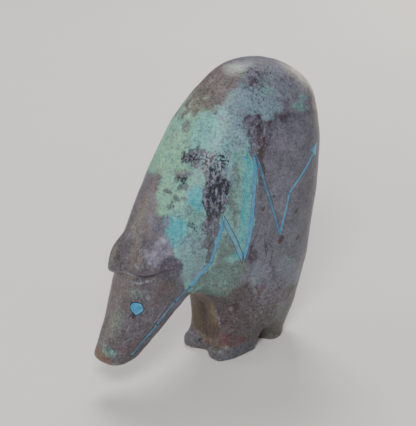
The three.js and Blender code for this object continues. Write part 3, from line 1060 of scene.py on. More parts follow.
def lobes(*rows: tuple[float, ...]) -> tuple[Lobe, ...]:
    """Makes lobes from rows of three numbers for the place, three for the reach and sometimes the turn."""
    return tuple(Lobe(row[:3], row[3:6], *row[6:]) for row in rows)


@dataclass(frozen=True)
class Patch:
    """A patch of one mineral: lobes that have grown together, thinning out towards a ragged edge.

    Its cover is the share of it that the mineral fills, its edge is how many millimetres it takes to thin
    out, and its blur is how soft each lump is. Straight ones don't follow the bends of the veins.
    """

    name: str
    mineral: Mineral
    habit: Habit
    cover: float
    edge: float
    blur: float
    strength: float
    lobes: tuple[Lobe, ...]
    straight: bool = False


@dataclass
class Graph:
    """A material's nodes, with short calls that add one and join it up."""

    tree: bpy.types.NodeTree

    def add(self, kind: str, inputs: dict[str | int, object] | None = None,
            **settings: object) -> bpy.types.Node:
        """Adds a node.

        Args:
            kind: The node's type.
            inputs: For each socket by name or number, a value or another node's output.
            settings: The node's own properties.

        Returns:
            The node.
        """
        node = self.tree.nodes.new(kind)
        for name, value in settings.items():
            setattr(node, name, value)
        for key, value in (inputs or {}).items():
            socket = node.inputs[key]
            if isinstance(value, Socket):
                self.tree.links.new(value, socket)
            else:
                socket.default_value = value
        return node

    def place(self) -> Socket:
        """Where each point of the surface is, in millimetres."""
        return self.scale(self.add("ShaderNodeTexCoord").outputs["Object"], 1.0 / MM)

    def math(self, operation: str, first: object, second: object = 0.0, third: object = 0.0) -> Socket:
        """One sum on numbers."""
        return self.add("ShaderNodeMath", {0: first, 1: second, 2: third}, operation=operation).outputs[0]

    def vector(self, operation: str, first: object, second: object) -> Socket:
        """One sum on vectors."""
        return self.add("ShaderNodeVectorMath", {0: first, 1: second}, operation=operation).outputs["Vector"]

    def scale(self, vector: object, factor: float) -> Socket:
        """A vector made longer or shorter."""
        node = self.add("ShaderNodeVectorMath", {0: vector, "Scale": factor}, operation="SCALE")
        return node.outputs["Vector"]

    def rise(self, value: object, start: float, end: float, low: float = 0.0, high: float = 1.0) -> Socket:
        """Goes smoothly from low to high as the value goes from start to end."""
        sockets = {0: value, 1: start, 2: end, 3: low, 4: high}
        return self.add("ShaderNodeMapRange", sockets, interpolation_type="SMOOTHSTEP").outputs[0]

    def mix(self, share: object, first: object, second: object, blend: str = "MIX") -> Socket:
        """Mixes two colours.

        Args:
            share: How much of the second there is, from 0 to 1.
            first: A colour, or a node's output.
            second: The colour that goes over it, or a node's output.
            blend: How the second goes over the first.

        Returns:
            The mixed colour.
        """
        colours = [value if isinstance(value, Socket) else (*value, 1.0) for value in (first, second)]
        sockets = {"Factor": share, 6: colours[0], 7: colours[1]}
        return self.add("ShaderNodeMix", sockets, data_type="RGBA", blend_type=blend).outputs[2]

    def noise(self, place: object, grain: float, detail: float = 2.0, roughness: float = 0.5,
              distortion: float = 0.0, output: str = "Fac") -> Socket:
        """Cloudy noise.

        Args:
            place: Where the point is, in millimetres.
            grain: About how many millimetres its lumps are across.
            detail: How many finer layers it has.
            roughness: How strong they are.
            distortion: How far it is stirred.
            output: Which of the node's outputs is used.

        Returns:
            That output.
        """
        sockets = {"Vector": place, "Scale": 1.0 / grain, "Detail": detail, "Roughness": roughness,
                   "Distortion": distortion}
        return self.add("ShaderNodeTexNoise", sockets).outputs[output]


def blank_finish(name: str, roughness: float) -> tuple[bpy.types.Material, bpy.types.Node, Graph]:
    """Makes a plain material.

    Args:
        name: Its name.
        roughness: Its roughness.

    Returns:
        The material, its shader and its nodes.
    """
    material = bpy.data.materials.new(name)
    material.use_nodes = True
    shader = material.node_tree.nodes["Principled BSDF"]
    shader.inputs["Roughness"].default_value = roughness
    return material, shader, Graph(material.node_tree)


# The turquoise field over the shoulder and the slate band that runs down through it
FIELD = lobes(
    (-5, -7.5, 44.5, 9.6, 9, 10.5), (-3.5, -3.5, 52.5, 7.5, 11, 6), (-11, -10.5, 46, 8.6, 10.6, 7.6),
    (-7.5, -10, 34, 8, 5, 9.5, 8), (-5, -8, 25.6, 7.2, 6, 6.6), (-0.4, -11, 38, 3.8, 5, 18, -1),
)
BAND = lobes(
    (-6.6, -6.5, 51.8, 3.2, 4, 1.6, -12), (-5, -9.6, 48.2, 2.4, 3, 3.2), (-6.2, -10.2, 43.4, 2.4, 3, 4.4),
    (-7.5, -10.2, 37, 1.6, 3, 5), (-7, -9.8, 32, 0.9, 3, 3.4),
)


@dataclass(frozen=True)
class MottledStone:
    """The bear's own stone: turquoise over the shoulder, mauve-grey at the rump, rust and black between."""

    name: str = "mottled stone"
    shine: float = 0.36
    roughness: float = 0.4
    roughness_spread: Point = (-0.06, 0.12)
    ground: tuple[Colour, Colour] = ((0.100, 0.096, 0.125), (0.130, 0.127, 0.165))
    drift_size: float = 4.5
    drift: float = 3.4
    fray_size: float = 1.1
    grain_size: float = 0.5
    pore_size: float = 0.36
    pore_depth: float = 0.07
    lobe_span: float = 5.0
    break_range: Point = (0.25, 0.75)
    edge_range: Point = (-0.3, 1.4)
    thinning: float = 0.6
    even: Ramp = (0.3, 0.7)
    mottle: Ramp = (0.32, 0.68, -0.07, 0.07)
    dust: Ramp = (0.3, 0.7, 0.34, 0.66)
    dust_strength: float = 0.85
    open_pores: Ramp = (0.36, 0.30)
    pore_clusters: Ramp = (0.54, 0.42)
    pore_strength: float = 0.75
    pale_pores: Ramp = (0.66, 0.74, 0.0, 0.45)
    # Painted highlight on convex edges and painted shade in hollows, read from the mesh's pointiness
    painted_edge_highlight: Ramp = (0.51, 0.56, 0.0, 0.5)
    painted_hollow_shade: Ramp = (0.49, 0.42, 0.0, 0.7)
    grain_relief: float = 0.5
    relief_strength: float = 0.5
    # Name, mineral, habit, cover, edge, blur, strength, and each lobe's place, reach and turn
    patches: tuple[Patch, ...] = (
        # Ground colours
        Patch("heather head", Mineral.HEATHER, Habit.CLOUD, 1, 4, 0.3, 0.95,
              lobes((-24.5, 0, 19.5, 15, 14, 9.5, 66))),
        Patch("bark legs", Mineral.BARK, Habit.CLOUD, 0.9, 4, 0.25, 0.95,
              lobes((2.4, 0, 9.5, 7, 14, 8.5), (15, 0, 5, 8.5, 14, 7.5, 12))),
        # Turquoise over the shoulder
        Patch("turquoise field", Mineral.TURQUOISE, Habit.FLAKE, 1, 1.4, 0.05, 1, FIELD),
        # The right side, plainer
        Patch("turquoise on the right", Mineral.TURQUOISE, Habit.FLAKE, 0.66, 3.4, 0.14, 0.9, lobes(
            (2, 11, 47, 9, 5, 7, 35), (-6, 8, 38, 5, 5, 8), (-6, 6, 50, 6, 5, 5, 40),
            (17, 9, 30, 3.4, 5, 7, -15), (27, 1, 52, 3, 4, 3.4),
        )),
        Patch("sky blue on the right", Mineral.SKY, Habit.CLOUD, 0.62, 2.6, 0.25, 0.7,
              lobes((-4, 9, 46, 5, 4, 6, 30), (17, 9, 31, 2.6, 4, 4))),
        Patch("pale blue on the right", Mineral.PALE_BLUE, Habit.CLOT, 0.6, 3, 0.2, 0.8,
              lobes((3, 11, 44, 9, 5, 6, 30), (14, 10, 58, 6, 4, 4), (18, 9, 27, 5, 5, 8, -15))),
        Patch("sage on the right", Mineral.SAGE, Habit.FLAKE, 0.56, 2.4, 0.14, 0.8,
              lobes((5, 11, 50, 7, 5, 5, 35), (-7, 8, 36, 4, 5, 8), (27, 1, 51, 3, 4, 3))),
        Patch("slate on the right", Mineral.SLATE, Habit.FLAKE, 0.7, 1.6, 0.1, 0.9,
              lobes((2.5, 11.5, 43, 2, 4, 6, 20), (-7, 8.5, 33, 2, 4, 4))),
        Patch("clouds on the right", Mineral.SLATE, Habit.CLOT, 0.44, 3, 0.2, 0.6,
              lobes((12, 10.5, 36, 11, 5, 19, -5))),
        Patch("dusk on the right", Mineral.DUSK, Habit.CLOT, 0.54, 3, 0.2, 0.6,
              lobes((19, 9.5, 50, 4, 4, 9, 10), (7, 10.5, 25, 7, 4, 5), (24, 5, 34, 4, 6, 8))),
        Patch("plum on the right", Mineral.PLUM, Habit.CLOT, 0.52, 1.4, 0.1, 0.85,
              lobes((11, 10.5, 52, 3, 4, 4, 20), (5, 11, 31, 3.4, 4, 2.4, -30), (25, 3, 42, 3, 4, 5))),
        Patch("umber on the right haunch", Mineral.UMBER, Habit.FLAKE, 0.5, 1.6, 0.12, 0.75,
              lobes((14, 9, 13, 5, 3, 4, 20), (9, 10, 40, 1.2, 3, 5, -10))),
        Patch("black specks on the right", Mineral.LEAD, Habit.SPECK, 0.36, 1.6, 0.06, 0.9, lobes(
            (2.5, 11.5, 43, 3, 4, 6, 20), (11, 10.5, 52, 5, 4, 5, 20), (17, 9, 30, 3.4, 5, 7, -15),
            (-5, 8.5, 48, 5, 4, 5, 40),
        )),
        # Crown, nape and rump
        Patch("green by the nape", Mineral.SEA_GREEN, Habit.CLOUD, 0.8, 2.4, 0.3, 0.85, lobes(
            (-7.4, 0.6, 53, 6, 5.4, 2.6, 55), (-13, -3.4, 44, 2.8, 2.4, 2, 55),
            (-1.8, -1, 59.8, 3.6, 5, 1, 42),
        )),
        Patch("sky blue shoulder", Mineral.SKY, Habit.CLOUD, 0.8, 3, 0.25, 0.8,
              lobes((-2.5, -7, 56, 4.5, 5, 5))),
        Patch("pale blue under the crown", Mineral.PALE_BLUE, Habit.CLOT, 0.75, 2, 0.15, 0.85, lobes(
            (4.5, -6, 62, 5.5, 4, 2.4, 15), (10, -8.5, 60.5, 5, 3.5, 2.6), (1.5, -9.5, 56.5, 2.6, 3, 4),
        )),
        Patch("foggy crown", Mineral.FOG, Habit.CLOT, 0.6, 2.4, 0.12, 0.8,
              lobes((16.5, -5, 62.5, 8, 8, 4.6, -12))),
        Patch("dusk on the crown", Mineral.DUSK, Habit.FLAKE, 0.42, 2, 0.16, 0.5,
              lobes((20, -5, 63, 3.6, 6, 2.4, -20), (15.5, -8.4, 60.8, 4, 3, 1.6, -5))),
        Patch("green on the crown", Mineral.SEA_GREEN, Habit.CLOT, 0.8, 1, 0.15, 0.55,
              lobes((7.6, -1.5, 66.6, 1.4, 3, 1.2))),
        Patch("turquoise on the crown", Mineral.TURQUOISE, Habit.CLOT, 0.5, 1.4, 0.12, 0.7,
              lobes((11.5, -7.5, 63.5, 2, 3, 2.8), (20.5, -9, 58, 3, 3, 1.8, -10))),
        Patch("lilac rump", Mineral.LILAC, Habit.CLOUD, 0.62, 2.5, 0.3, 0.36,
              lobes((15, -10.5, 52, 5, 3, 3), (12, -11.5, 40, 3, 3, 5))),
        Patch("dusk down the rump", Mineral.DUSK, Habit.CLOUD, 0.56, 3, 0.25, 0.4,
              lobes((21, -9.5, 43, 3, 4, 12, -4))),
        Patch("slate clouds on the rump", Mineral.SLATE, Habit.CLOT, 0.42, 3, 0.2, 0.6,
              lobes((16, -10.5, 36, 9, 4, 19, -5))),
        Patch("clay over the nape", Mineral.CLAY, Habit.CLOT, 0.85, 1.4, 0.15, 0.9,
              lobes((2.6, 2, 64.2, 7, 7, 1.7, 38))),
        Patch("umber over the nape", Mineral.UMBER, Habit.FLAKE, 0.5, 1.2, 0.14, 0.6,
              lobes((1, 1, 63, 2.6, 3, 0.8, 40), (5, 0.5, 65.4, 2.4, 3, 0.7, 30))),
        Patch("clay flecks", Mineral.CLAY, Habit.FLAKE, 0.75, 0.8, 0.12, 0.8, lobes(
            (-5, 0.3, 56.5, 1.4, 1.2, 1.3, 50), (-10, -4.2, 48.6, 2.4, 1.8, 0.8, 12),
            (-2.1, -9.8, 52.2, 0.7, 1.4, 0.8), (-1.6, -9.7, 29.8, 0.7, 1.4, 0.7),
            (-11.2, -8.6, 26, 0.6, 1.2, 0.7),
        )),
        # Within the turquoise
        Patch("pinholes in the field", Mineral.LEAD, Habit.SPECK, 0.16, 2, 0.05, 0.8, FIELD),
        Patch("clouds in the field", Mineral.PALE_BLUE, Habit.CLOT, 0.42, 2, 0.16, 0.5, FIELD),
        Patch("sage in the field", Mineral.SAGE, Habit.FLAKE, 0.3, 2, 0.12, 0.5, FIELD),
        Patch("cyan", Mineral.CYAN, Habit.CLOT, 0.8, 1.4, 0.2, 0.9, lobes(
            (-10, -8.3, 43.8, 1.5, 2.5, 2.2), (-14.6, -7.4, 37, 1.2, 2.5, 2.8), (0.9, -9.8, 29, 0.7, 2, 2.6),
            (1.8, -11.5, 40, 0.6, 2, 7, -3),
        )),
        Patch("grey-blue chest", Mineral.PALE_BLUE, Habit.CLOT, 0.76, 1.8, 0.18, 0.75,
              lobes((-11.6, -9.2, 31, 4.2, 3, 5.6))),
        Patch("sage belly", Mineral.SAGE, Habit.CLOT, 0.75, 2, 0.14, 0.9,
              lobes((-3, -8, 22, 7, 6, 4.4, 8), (-2.5, -10, 30, 2.2, 3, 3.8))),
        Patch("sage strip", Mineral.SAGE, Habit.CLOT, 0.8, 1, 0.14, 0.85, lobes(
            (-1.3, -11.2, 47, 1, 2.5, 2.4, -20), (-2.2, -11.2, 43.5, 1.1, 2.5, 3.4),
            (-1.2, -11.2, 39, 0.8, 2.5, 2.4),
        )),
        Patch("grey flecks", Mineral.SLATE, Habit.FLAKE, 0.8, 0.7, 0.12, 0.9, lobes(
            (-10.6, -4, 47.6, 1.5, 1.2, 0.5, 20), (-11.4, -5.4, 46.2, 1.1, 1, 0.4, 20),
            (-13.2, -2, 44.6, 0.8, 1, 0.4), (-12.4, -5.7, 43.8, 1, 1.2, 0.45, 20),
            (-11.7, 1.3, 46.9, 0.5, 0.8, 0.8), (-14.2, -4.1, 42.2, 0.7, 1, 0.6),
            (-13.2, -5.6, 40, 0.6, 1, 0.5),
        )),
        Patch("cloud beside the band", Mineral.SLATE, Habit.FLAKE, 0.5, 1.6, 0.12, 0.5, lobes(
            (-10.6, -9.2, 40.6, 2.2, 2.5, 2.8, 40), (-12, -9, 38, 1.6, 2.5, 1.8),
            (-9.6, -10, 35, 2.4, 2.5, 6),
        )),
        # Dark band down the shoulder
        Patch("slate band", Mineral.SLATE, Habit.FLAKE, 0.8, 1.2, 0.08, 1, BAND),
        Patch("pale blue over the band", Mineral.PALE_BLUE, Habit.FLAKE, 0.62, 1.4, 0.12, 0.8,
              lobes((-4.4, -8.6, 51.2, 3.6, 3, 2.2), (-2.6, -10.2, 48.4, 1.6, 3, 2.6))),
        Patch("black band", Mineral.LEAD, Habit.FLAKE, 0.8, 1.2, 0.07, 1,
              lobes((-5.2, -10, 46.2, 2.2, 3, 2.4), (-6.4, -10.2, 42.6, 1.9, 3, 3.6, -10))),
        Patch("black streaks low in the band", Mineral.LEAD, Habit.STREAK, 0.5, 1, 0.07, 1,
              lobes((-7.4, -10.2, 37.4, 1.3, 3, 4), (-7, -9.8, 32.4, 0.8, 3, 3.2))),
        Patch("umber low in the band", Mineral.UMBER, Habit.FLAKE, 0.44, 1, 0.1, 0.8,
              lobes((-7.3, -10, 35.6, 1.3, 3, 5.4))),
        Patch("pale flakes in the band", Mineral.FOG, Habit.FLAKE, 0.32, 0.9, 0.1, 0.8, BAND),
        Patch("lilac streaks in the band", Mineral.LILAC, Habit.STREAK, 0.34, 0.9, 0.08, 0.85, BAND),
        Patch("black specks over the band", Mineral.LEAD, Habit.SPECK, 0.46, 0.9, 0.05, 1, lobes(
            (-7.6, -4.6, 52.2, 2.4, 3, 1, -20), (-4.8, -8.8, 51, 2.8, 3, 2.2),
            (-10.6, -4.8, 47.4, 1.6, 1.4, 0.6, 20), (-11.8, -9, 38, 0.7, 2, 1.2, 40),
        )),
        # Blotches on the crown and the flank
        Patch("dusk in the top blotch", Mineral.DUSK, Habit.FLAKE, 0.5, 1.4, 0.12, 0.85,
              lobes((9, -5.2, 65.2, 2.8, 3, 2.2, 10), (12.4, -3.6, 66.6, 2.2, 3, 1.4, 20))),
        Patch("top blotch", Mineral.PLUM, Habit.CLOT, 0.46, 1.1, 0.1, 0.8,
              lobes((8.6, -5.2, 65.4, 1.8, 2.6, 1.4, -30), (12, -3.9, 66.7, 1.8, 2.6, 1.2, 30))),
        Patch("dusk round the flank blotch", Mineral.DUSK, Habit.FLAKE, 0.52, 1.8, 0.12, 0.9, lobes(
            (6.2, -10, 55.8, 3.4, 4, 4.4, 20), (6, -11.5, 49, 1.5, 2.5, 5, -4), (13.8, -9.8, 56.8, 1.6, 3, 1),
        )),
        Patch("flank blotch", Mineral.PLUM, Habit.CLOT, 0.48, 1.1, 0.1, 0.85, lobes(
            (6.4, -9.6, 58.2, 1.3, 2.5, 1.3), (6, -10.2, 56, 2.6, 3, 2, 10), (6.8, -11, 53.2, 1.5, 2.5, 2.4),
            (9.4, -10.2, 56.8, 1.2, 2, 0.8), (13.8, -10.1, 56.6, 1.3, 2.5, 0.9),
        )),
        Patch("rust in the blotches", Mineral.RUST, Habit.SPECK, 0.36, 1, 0.1, 0.5,
              lobes((6.4, -10.2, 56, 2.4, 3, 3.6), (11.6, -4, 66.2, 4.2, 3.4, 1.8, 20))),
        Patch("streak towards the rump", Mineral.PLUM, Habit.FLAKE, 0.5, 0.8, 0.16, 0.45,
              lobes((19, -9.6, 55.9, 5.5, 2.5, 0.5, -10))),
        Patch("streak down from the blotch", Mineral.UMBER, Habit.STREAK, 0.6, 0.9, 0.08, 1,
              lobes((6.3, -11.6, 49, 0.7, 2.5, 4.6, -6), (6, -11.7, 43.6, 0.5, 2.5, 2.4, 10))),
        Patch("black specks round the blotches", Mineral.LEAD, Habit.SPECK, 0.3, 0.9, 0.06, 0.9, lobes(
            (3.4, -10.5, 54.6, 1, 2.5, 2.8, -14), (6.2, -10.4, 55.6, 2.6, 3, 3.4),
            (5.6, -11.6, 44.4, 1.2, 2.5, 2.4), (20, -6.3, 63.2, 1.6, 2.5, 1.6), (9.6, -7.4, 63, 2.4, 3, 1.8),
            (12, -4, 66, 4, 3, 1.8),
        )),
        Patch("black streaks on the crown", Mineral.LEAD, Habit.STREAK, 0.26, 1, 0.08, 0.75,
              lobes((7, -8.6, 61.4, 2.2, 3, 2.6, -30), (18.4, -6.6, 63.4, 3, 2.5, 1.6, -20))),
        Patch("pale flakes in the blotches", Mineral.FOG, Habit.FLAKE, 0.36, 1, 0.1, 0.75,
              lobes((5.4, -10.5, 55, 3.6, 3, 4.4, -14), (10.5, -4.6, 65.8, 4.4, 3, 2.4, 10))),
        Patch("spots on the rump", Mineral.UMBER, Habit.CLOT, 1, 0.3, 0.12, 0.9, lobes(
            (7, -11.6, 37.5, 0.45, 1.5, 0.45), (9.3, -11.7, 39.7, 0.3, 1.5, 0.35),
            (16.5, -11.6, 34.3, 0.35, 1.5, 0.35), (12.4, -11.5, 28.5, 0.6, 1.5, 0.8),
            (18.3, -11.3, 27, 0.4, 1.5, 0.45),
        )),
        Patch("rump flecks", Mineral.UMBER, Habit.SPECK, 0.12, 2, 0.05, 0.55,
              lobes((14, -10, 38, 12, 6, 18, -5))),
        # Haunch, legs and feet
        Patch("pale blue haunch", Mineral.PALE_BLUE, Habit.CLOT, 0.62, 1.8, 0.22, 0.38, lobes(
            (15.2, -10.3, 20, 3.4, 3, 2, -50), (18.6, -9.3, 16, 2.4, 3, 1.6, -40),
            (7.2, -10, 21.4, 1.6, 2.5, 2.6), (16.5, -7.4, 7.4, 2, 3, 3.4, 10),
        )),
        Patch("plum under the line", Mineral.PLUM, Habit.FLAKE, 0.75, 0.9, 0.14, 0.7,
              lobes((5.5, -10.1, 26, 0.8, 2, 1.6))),
        Patch("rust oval", Mineral.RUST, Habit.FLAKE, 0.9, 0.9, 0.14, 0.6,
              lobes((8.7, -9.3, 16.4, 1.2, 2, 1.3))),
        Patch("threads on the haunch", Mineral.LEAD, Habit.FLAKE, 0.66, 0.4, 0.12, 0.8, lobes(
            (8.3, -11, 27.8, 0.2, 2, 3.2, 3), (10.8, -10.6, 22.2, 0.2, 2, 4.4, 14),
            (13.2, -9.8, 16.4, 0.2, 2, 2.4, 40), (5, -10.6, 30, 0.25, 2, 2.6, -8),
        )),
        Patch("umber haunch", Mineral.UMBER, Habit.FLAKE, 0.56, 1.4, 0.12, 0.8, lobes(
            (13, -9.2, 13.8, 2.4, 3, 1.4, 10), (17.6, -8.6, 11.9, 2.2, 3, 1.8), (11.5, -8.6, 9, 1.8, 3, 4.2),
            (11.4, -7.6, 4.6, 1.6, 3, 1.6),
        )),
        Patch("dusk on the shoulder", Mineral.DUSK, Habit.FLAKE, 0.5, 1.6, 0.14, 0.7,
              lobes((1.4, -7, 13, 4.4, 4, 4.2), (4, -8, 8, 3.8, 4, 3.4))),
        Patch("plum spots on the shoulder", Mineral.PLUM, Habit.CLOT, 1, 0.5, 0.14, 0.8, lobes(
            (2.1, -7.7, 14, 0.6, 1.5, 0.6), (1, -5.4, 9.6, 0.7, 1.2, 0.6), (4.6, -8.6, 17.6, 0.5, 1.5, 0.5),
        )),
        Patch("grey shoulder", Mineral.CLAY, Habit.FLAKE, 0.36, 2, 0.14, 0.4, lobes((4, -8, 12, 7, 4, 8))),
        Patch("pale grit on the haunch", Mineral.FOG, Habit.FLAKE, 0.4, 1.6, 0.12, 0.5,
              lobes((9.5, -9.8, 18, 4, 3, 6, 10), (14, -9, 10, 6, 3, 5))),
        Patch("dark grit on the legs", Mineral.UMBER, Habit.SPECK, 0.34, 2, 0.07, 0.75,
              lobes((4, -6, 11, 7, 7, 9), (14, -6, 10, 8, 7, 9))),
        Patch("olive hind leg", Mineral.OLIVE, Habit.FLAKE, 0.6, 2, 0.2, 0.8,
              lobes((17.5, -6, 4, 5.5, 6, 4.4))),
        # Painted light: warm bronze on the front of the forelegs, where a warm light falls
        Patch("painted warm light on the leg front", Mineral.BRONZE, Habit.FLAKE, 0.8, 1.6, 0.2, 0.8,
              lobes((0.6, 1.6, 10, 3, 4.6, 6))),
        # Painted highlight: pale tan where a facet of the foreleg and the tops of the toes catch the light
        Patch("tan facets", Mineral.TAN, Habit.FLAKE, 0.66, 0.9, 0.2, 0.75, lobes(
            (0.3, -2.4, 10.8, 1.6, 0.7, 2.2), (-0.6, 1.4, 3, 1.6, 2.6, 0.6), (0.4, -4.6, 2.8, 1.6, 2.2, 0.5),
        )),
        # Painted shade: umber darkening the hollow between the forelegs
        Patch("painted shade between the forelegs", Mineral.UMBER, Habit.FLAKE, 0.74, 1.3, 0.18, 0.9,
              lobes((0.2, 0.6, 10, 2.4, 1.3, 3.4), (0.8, -0.4, 5.4, 2.4, 2.2, 1.8))),
        Patch("rust foot", Mineral.RUST, Habit.FLAKE, 0.64, 1.6, 0.18, 0.8,
              lobes((1.6, -6.2, 4.7, 3.8, 3.2, 1.5))),
        Patch("slate soles", Mineral.SLATE, Habit.FLAKE, 0.62, 1.4, 0.16, 0.85,
              lobes((3, -5.5, 0.8, 6.5, 7, 2), (-0.6, 3.2, 2.2, 1.4, 2.2, 2.2))),
        Patch("black grit on the feet", Mineral.LEAD, Habit.SPECK, 0.3, 1.2, 0.06, 0.7,
              lobes((3, -5.5, 1.4, 6.5, 7, 2.4), (-0.4, 1, 3.6, 2, 4, 2.4))),
        # Head
        # Lilac of the ear, lightened as a painted highlight where its outer facet catches the light
        Patch("lilac ear with painted highlight", Mineral.LILAC, Habit.FLAKE, 0.66, 1.5, 0.2, 0.66,
              lobes((-20.2, -7, 32.2, 1.7, 2, 1.6), (-17.4, -6.4, 34, 1.4, 2, 1.6))),
        # Painted shade: dusk in the crease under the left ear
        Patch("painted shade in the crease under the ear", Mineral.DUSK, Habit.FLAKE, 0.68, 1.4, 0.16, 1,
              lobes((-16.8, -8, 29.4, 2.2, 2.5, 2.8), (-22.5, -4.6, 28.4, 2.4, 2.5, 0.8, 15))),
        Patch("sage brow and face", Mineral.SAGE, Habit.FLAKE, 0.74, 1.1, 0.2, 0.6,
              lobes((-23.1, -2.9, 24.5, 1.5, 1.9, 1.2), (-26, -0.6, 17, 3, 1.6, 1.4, 66))),
        Patch("umber grit on the head", Mineral.UMBER, Habit.SPECK, 0.3, 2, 0.08, 0.55,
              lobes((-24.5, -2, 20.5, 13, 9, 7, 66))),
        Patch("pale grit on the head", Mineral.FOG, Habit.FLAKE, 0.3, 2, 0.1, 0.3,
              lobes((-21.5, -2, 26.5, 15, 9, 8, 66))),
        Patch("rust on the jowl and nape", Mineral.RUST, Habit.FLAKE, 0.56, 1.2, 0.18, 0.6, lobes(
            (-17.8, -7.8, 25, 2.2, 2.2, 1.5), (-12.9, 2.6, 44.4, 1, 1.6, 1.8),
            (-25.4, -5, 12.6, 2.2, 1.6, 1.2, 40), (-20.5, -6.4, 22.6, 1.6, 1.6, 0.8, 30),
        )),
        Patch("tan nape", Mineral.TAN, Habit.CLOT, 0.56, 1.4, 0.25, 0.35,
              lobes((-16.8, 1.6, 38.8, 4, 2.4, 1.4, 62))),
        Patch("amber nose", Mineral.AMBER, Habit.FLAKE, 0.72, 1, 0.2, 0.7,
              lobes((-30, 0.8, 9.2, 1.3, 3.4, 1.3))),
        Patch("green nostril", Mineral.TURQUOISE, Habit.FLAKE, 0.66, 0.8, 0.2, 0.65,
              lobes((-28.8, -1.2, 10.8, 1.1, 1.7, 1))),
        Patch("dark chip by the eye", Mineral.LEAD, Habit.CLOT, 1, 0.3, 0.16, 0.8,
              lobes((-24.4, -3.9, 19.2, 0.45, 0.7, 0.4)), straight=True),
        Patch("specks by the nostril", Mineral.LEAD, Habit.SPECK, 0.44, 0.6, 0.08, 0.8,
              lobes((-28.4, -1.3, 11.6, 0.9, 1.4, 0.7))),
        # Painted highlights: pale glints along ridges and edges where the light catches them
        Patch("painted highlights on the ridges", Mineral.LILAC, Habit.SPECK, 0.6, 0.3, 0.2, 0.75, lobes(
            # Along the jaw, on the brow, round the ear and under it
            (-20.2, -6.8, 17.9, 3.6, 1.5, 0.16, 49.5), (-21.8, -4.2, 26.6, 1.6, 2.2, 0.14, 30),
            (-20.5, -2.2, 33, 1, 0.9, 0.16), (-20.6, -3.8, 33.6, 1, 0.9, 0.16),
            (-22.1, -3, 30.5, 0.8, 1, 0.2, 40), (-22.6, -0.4, 27.4, 1, 1.2, 0.18),
            # Down the foreleg and over the toes
            (0.5, -3.8, 11, 1.2, 0.14, 1.1), (0.8, -4.25, 8.8, 1.2, 0.14, 1.3),
            (-0.2, 4.3, 3.1, 1, 0.9, 0.16),
        ), straight=True),
    )

    def share(self, graph: Graph, patch: Patch, place: Socket, breaks: dict[Habit, Socket]) -> Socket:
        """How much of the surface a patch covers at each point.

        Args:
            graph: The material's nodes.
            patch: The patch.
            place: Where the point is, in millimetres.
            breaks: For each habit, the noise that breaks a mineral up.

        Returns:
            A number from 0 to 1.
        """
        span = self.lobe_span
        away = None
        for lobe in patch.lobes:
            turn = (0.0, math.radians(-lobe.turn), 0.0)
            frame = {"Vector": place, "Location": lobe.place, "Rotation": turn,
                     "Scale": [size * span for size in lobe.reach]}
            shifted = graph.add("ShaderNodeMapping", frame, vector_type="TEXTURE").outputs[0]
            # The gradient falls evenly from 1 at the lobe's middle to 0 at span times its reach
            ball = graph.add("ShaderNodeTexGradient", {"Vector": shifted}, gradient_type="SPHERICAL")
            size = min(lobe.reach)
            gap = graph.math("MULTIPLY_ADD", ball.outputs["Fac"], -span * size, (span - 1.0) * size)
            away = gap if away is None else graph.math("MINIMUM", away, gap)
        inner, outer = (patch.edge * share for share in self.edge_range)
        level = graph.math("ADD", breaks[patch.habit], graph.rise(away, inner, outer, 0.0, self.thinning))
        limit = self.break_range[0] + (self.break_range[1] - self.break_range[0]) * patch.cover
        return graph.rise(level, limit + patch.blur, limit - patch.blur, 0.0, patch.strength)

    def break_up(self, graph: Graph, place: Socket) -> dict[Habit, Socket]:
        """The noise that breaks the minerals up.

        Args:
            graph: The material's nodes.
            place: Where the point is, in millimetres.

        Returns:
            For each habit, a number that lies round 0.5.
        """
        upright = graph.vector("MULTIPLY", place, (1.0, 1.0, 0.8))
        drawn_out = graph.vector("MULTIPLY", place, (1.6, 1.6, 0.35))
        kinds = (
            # Habit, place, detail, roughness and distortion
            (Habit.CLOUD, upright, 3.0, 0.55, 0.0),
            (Habit.CLOT, upright, 5.0, 0.62, 0.5),
            (Habit.FLAKE, upright, 4.0, 0.62, 0.0),
            (Habit.SPECK, place, 2.0, 0.6, 0.0),
            (Habit.STREAK, drawn_out, 4.0, 0.6, 0.4),
        )
        return {habit: graph.noise(where, habit.value, *settings) for habit, where, *settings in kinds}

    def bend(self, graph: Graph, place: Socket) -> Socket:
        """Makes places drift and fray, so that the patches follow the veins.

        Args:
            graph: The material's nodes.
            place: Where the point is, in millimetres.

        Returns:
            Where the point is taken to be.
        """
        middle = (0.5, 0.5, 0.5)
        drift = graph.noise(place, self.drift_size, output="Color")
        fray = graph.noise(place, self.fray_size, detail=3.0, roughness=0.6, output="Color")
        wander = graph.scale(graph.vector("SUBTRACT", drift, middle), self.drift)
        return graph.vector("ADD", place, graph.vector("ADD", wander, graph.vector("SUBTRACT", fray, middle)))

    def build(self) -> bpy.types.Material:
        """Makes the material.

        Returns:
            The material, ready to put on a piece.
        """
        material, shader, graph = blank_finish(self.name, self.roughness)
        shader.inputs["Specular IOR Level"].default_value = self.shine
        place = graph.place()
        bent = self.bend(graph, place)
        breaks = self.break_up(graph, place)
        clots = breaks[Habit.CLOT]

        colour = graph.mix(graph.rise(breaks[Habit.CLOUD], *self.even), *self.ground)
        for patch in self.patches:
            where = place if patch.straight else bent
            colour = graph.mix(self.share(graph, patch, where, breaks), colour, patch.mineral.value)
            colour.node.label = patch.name

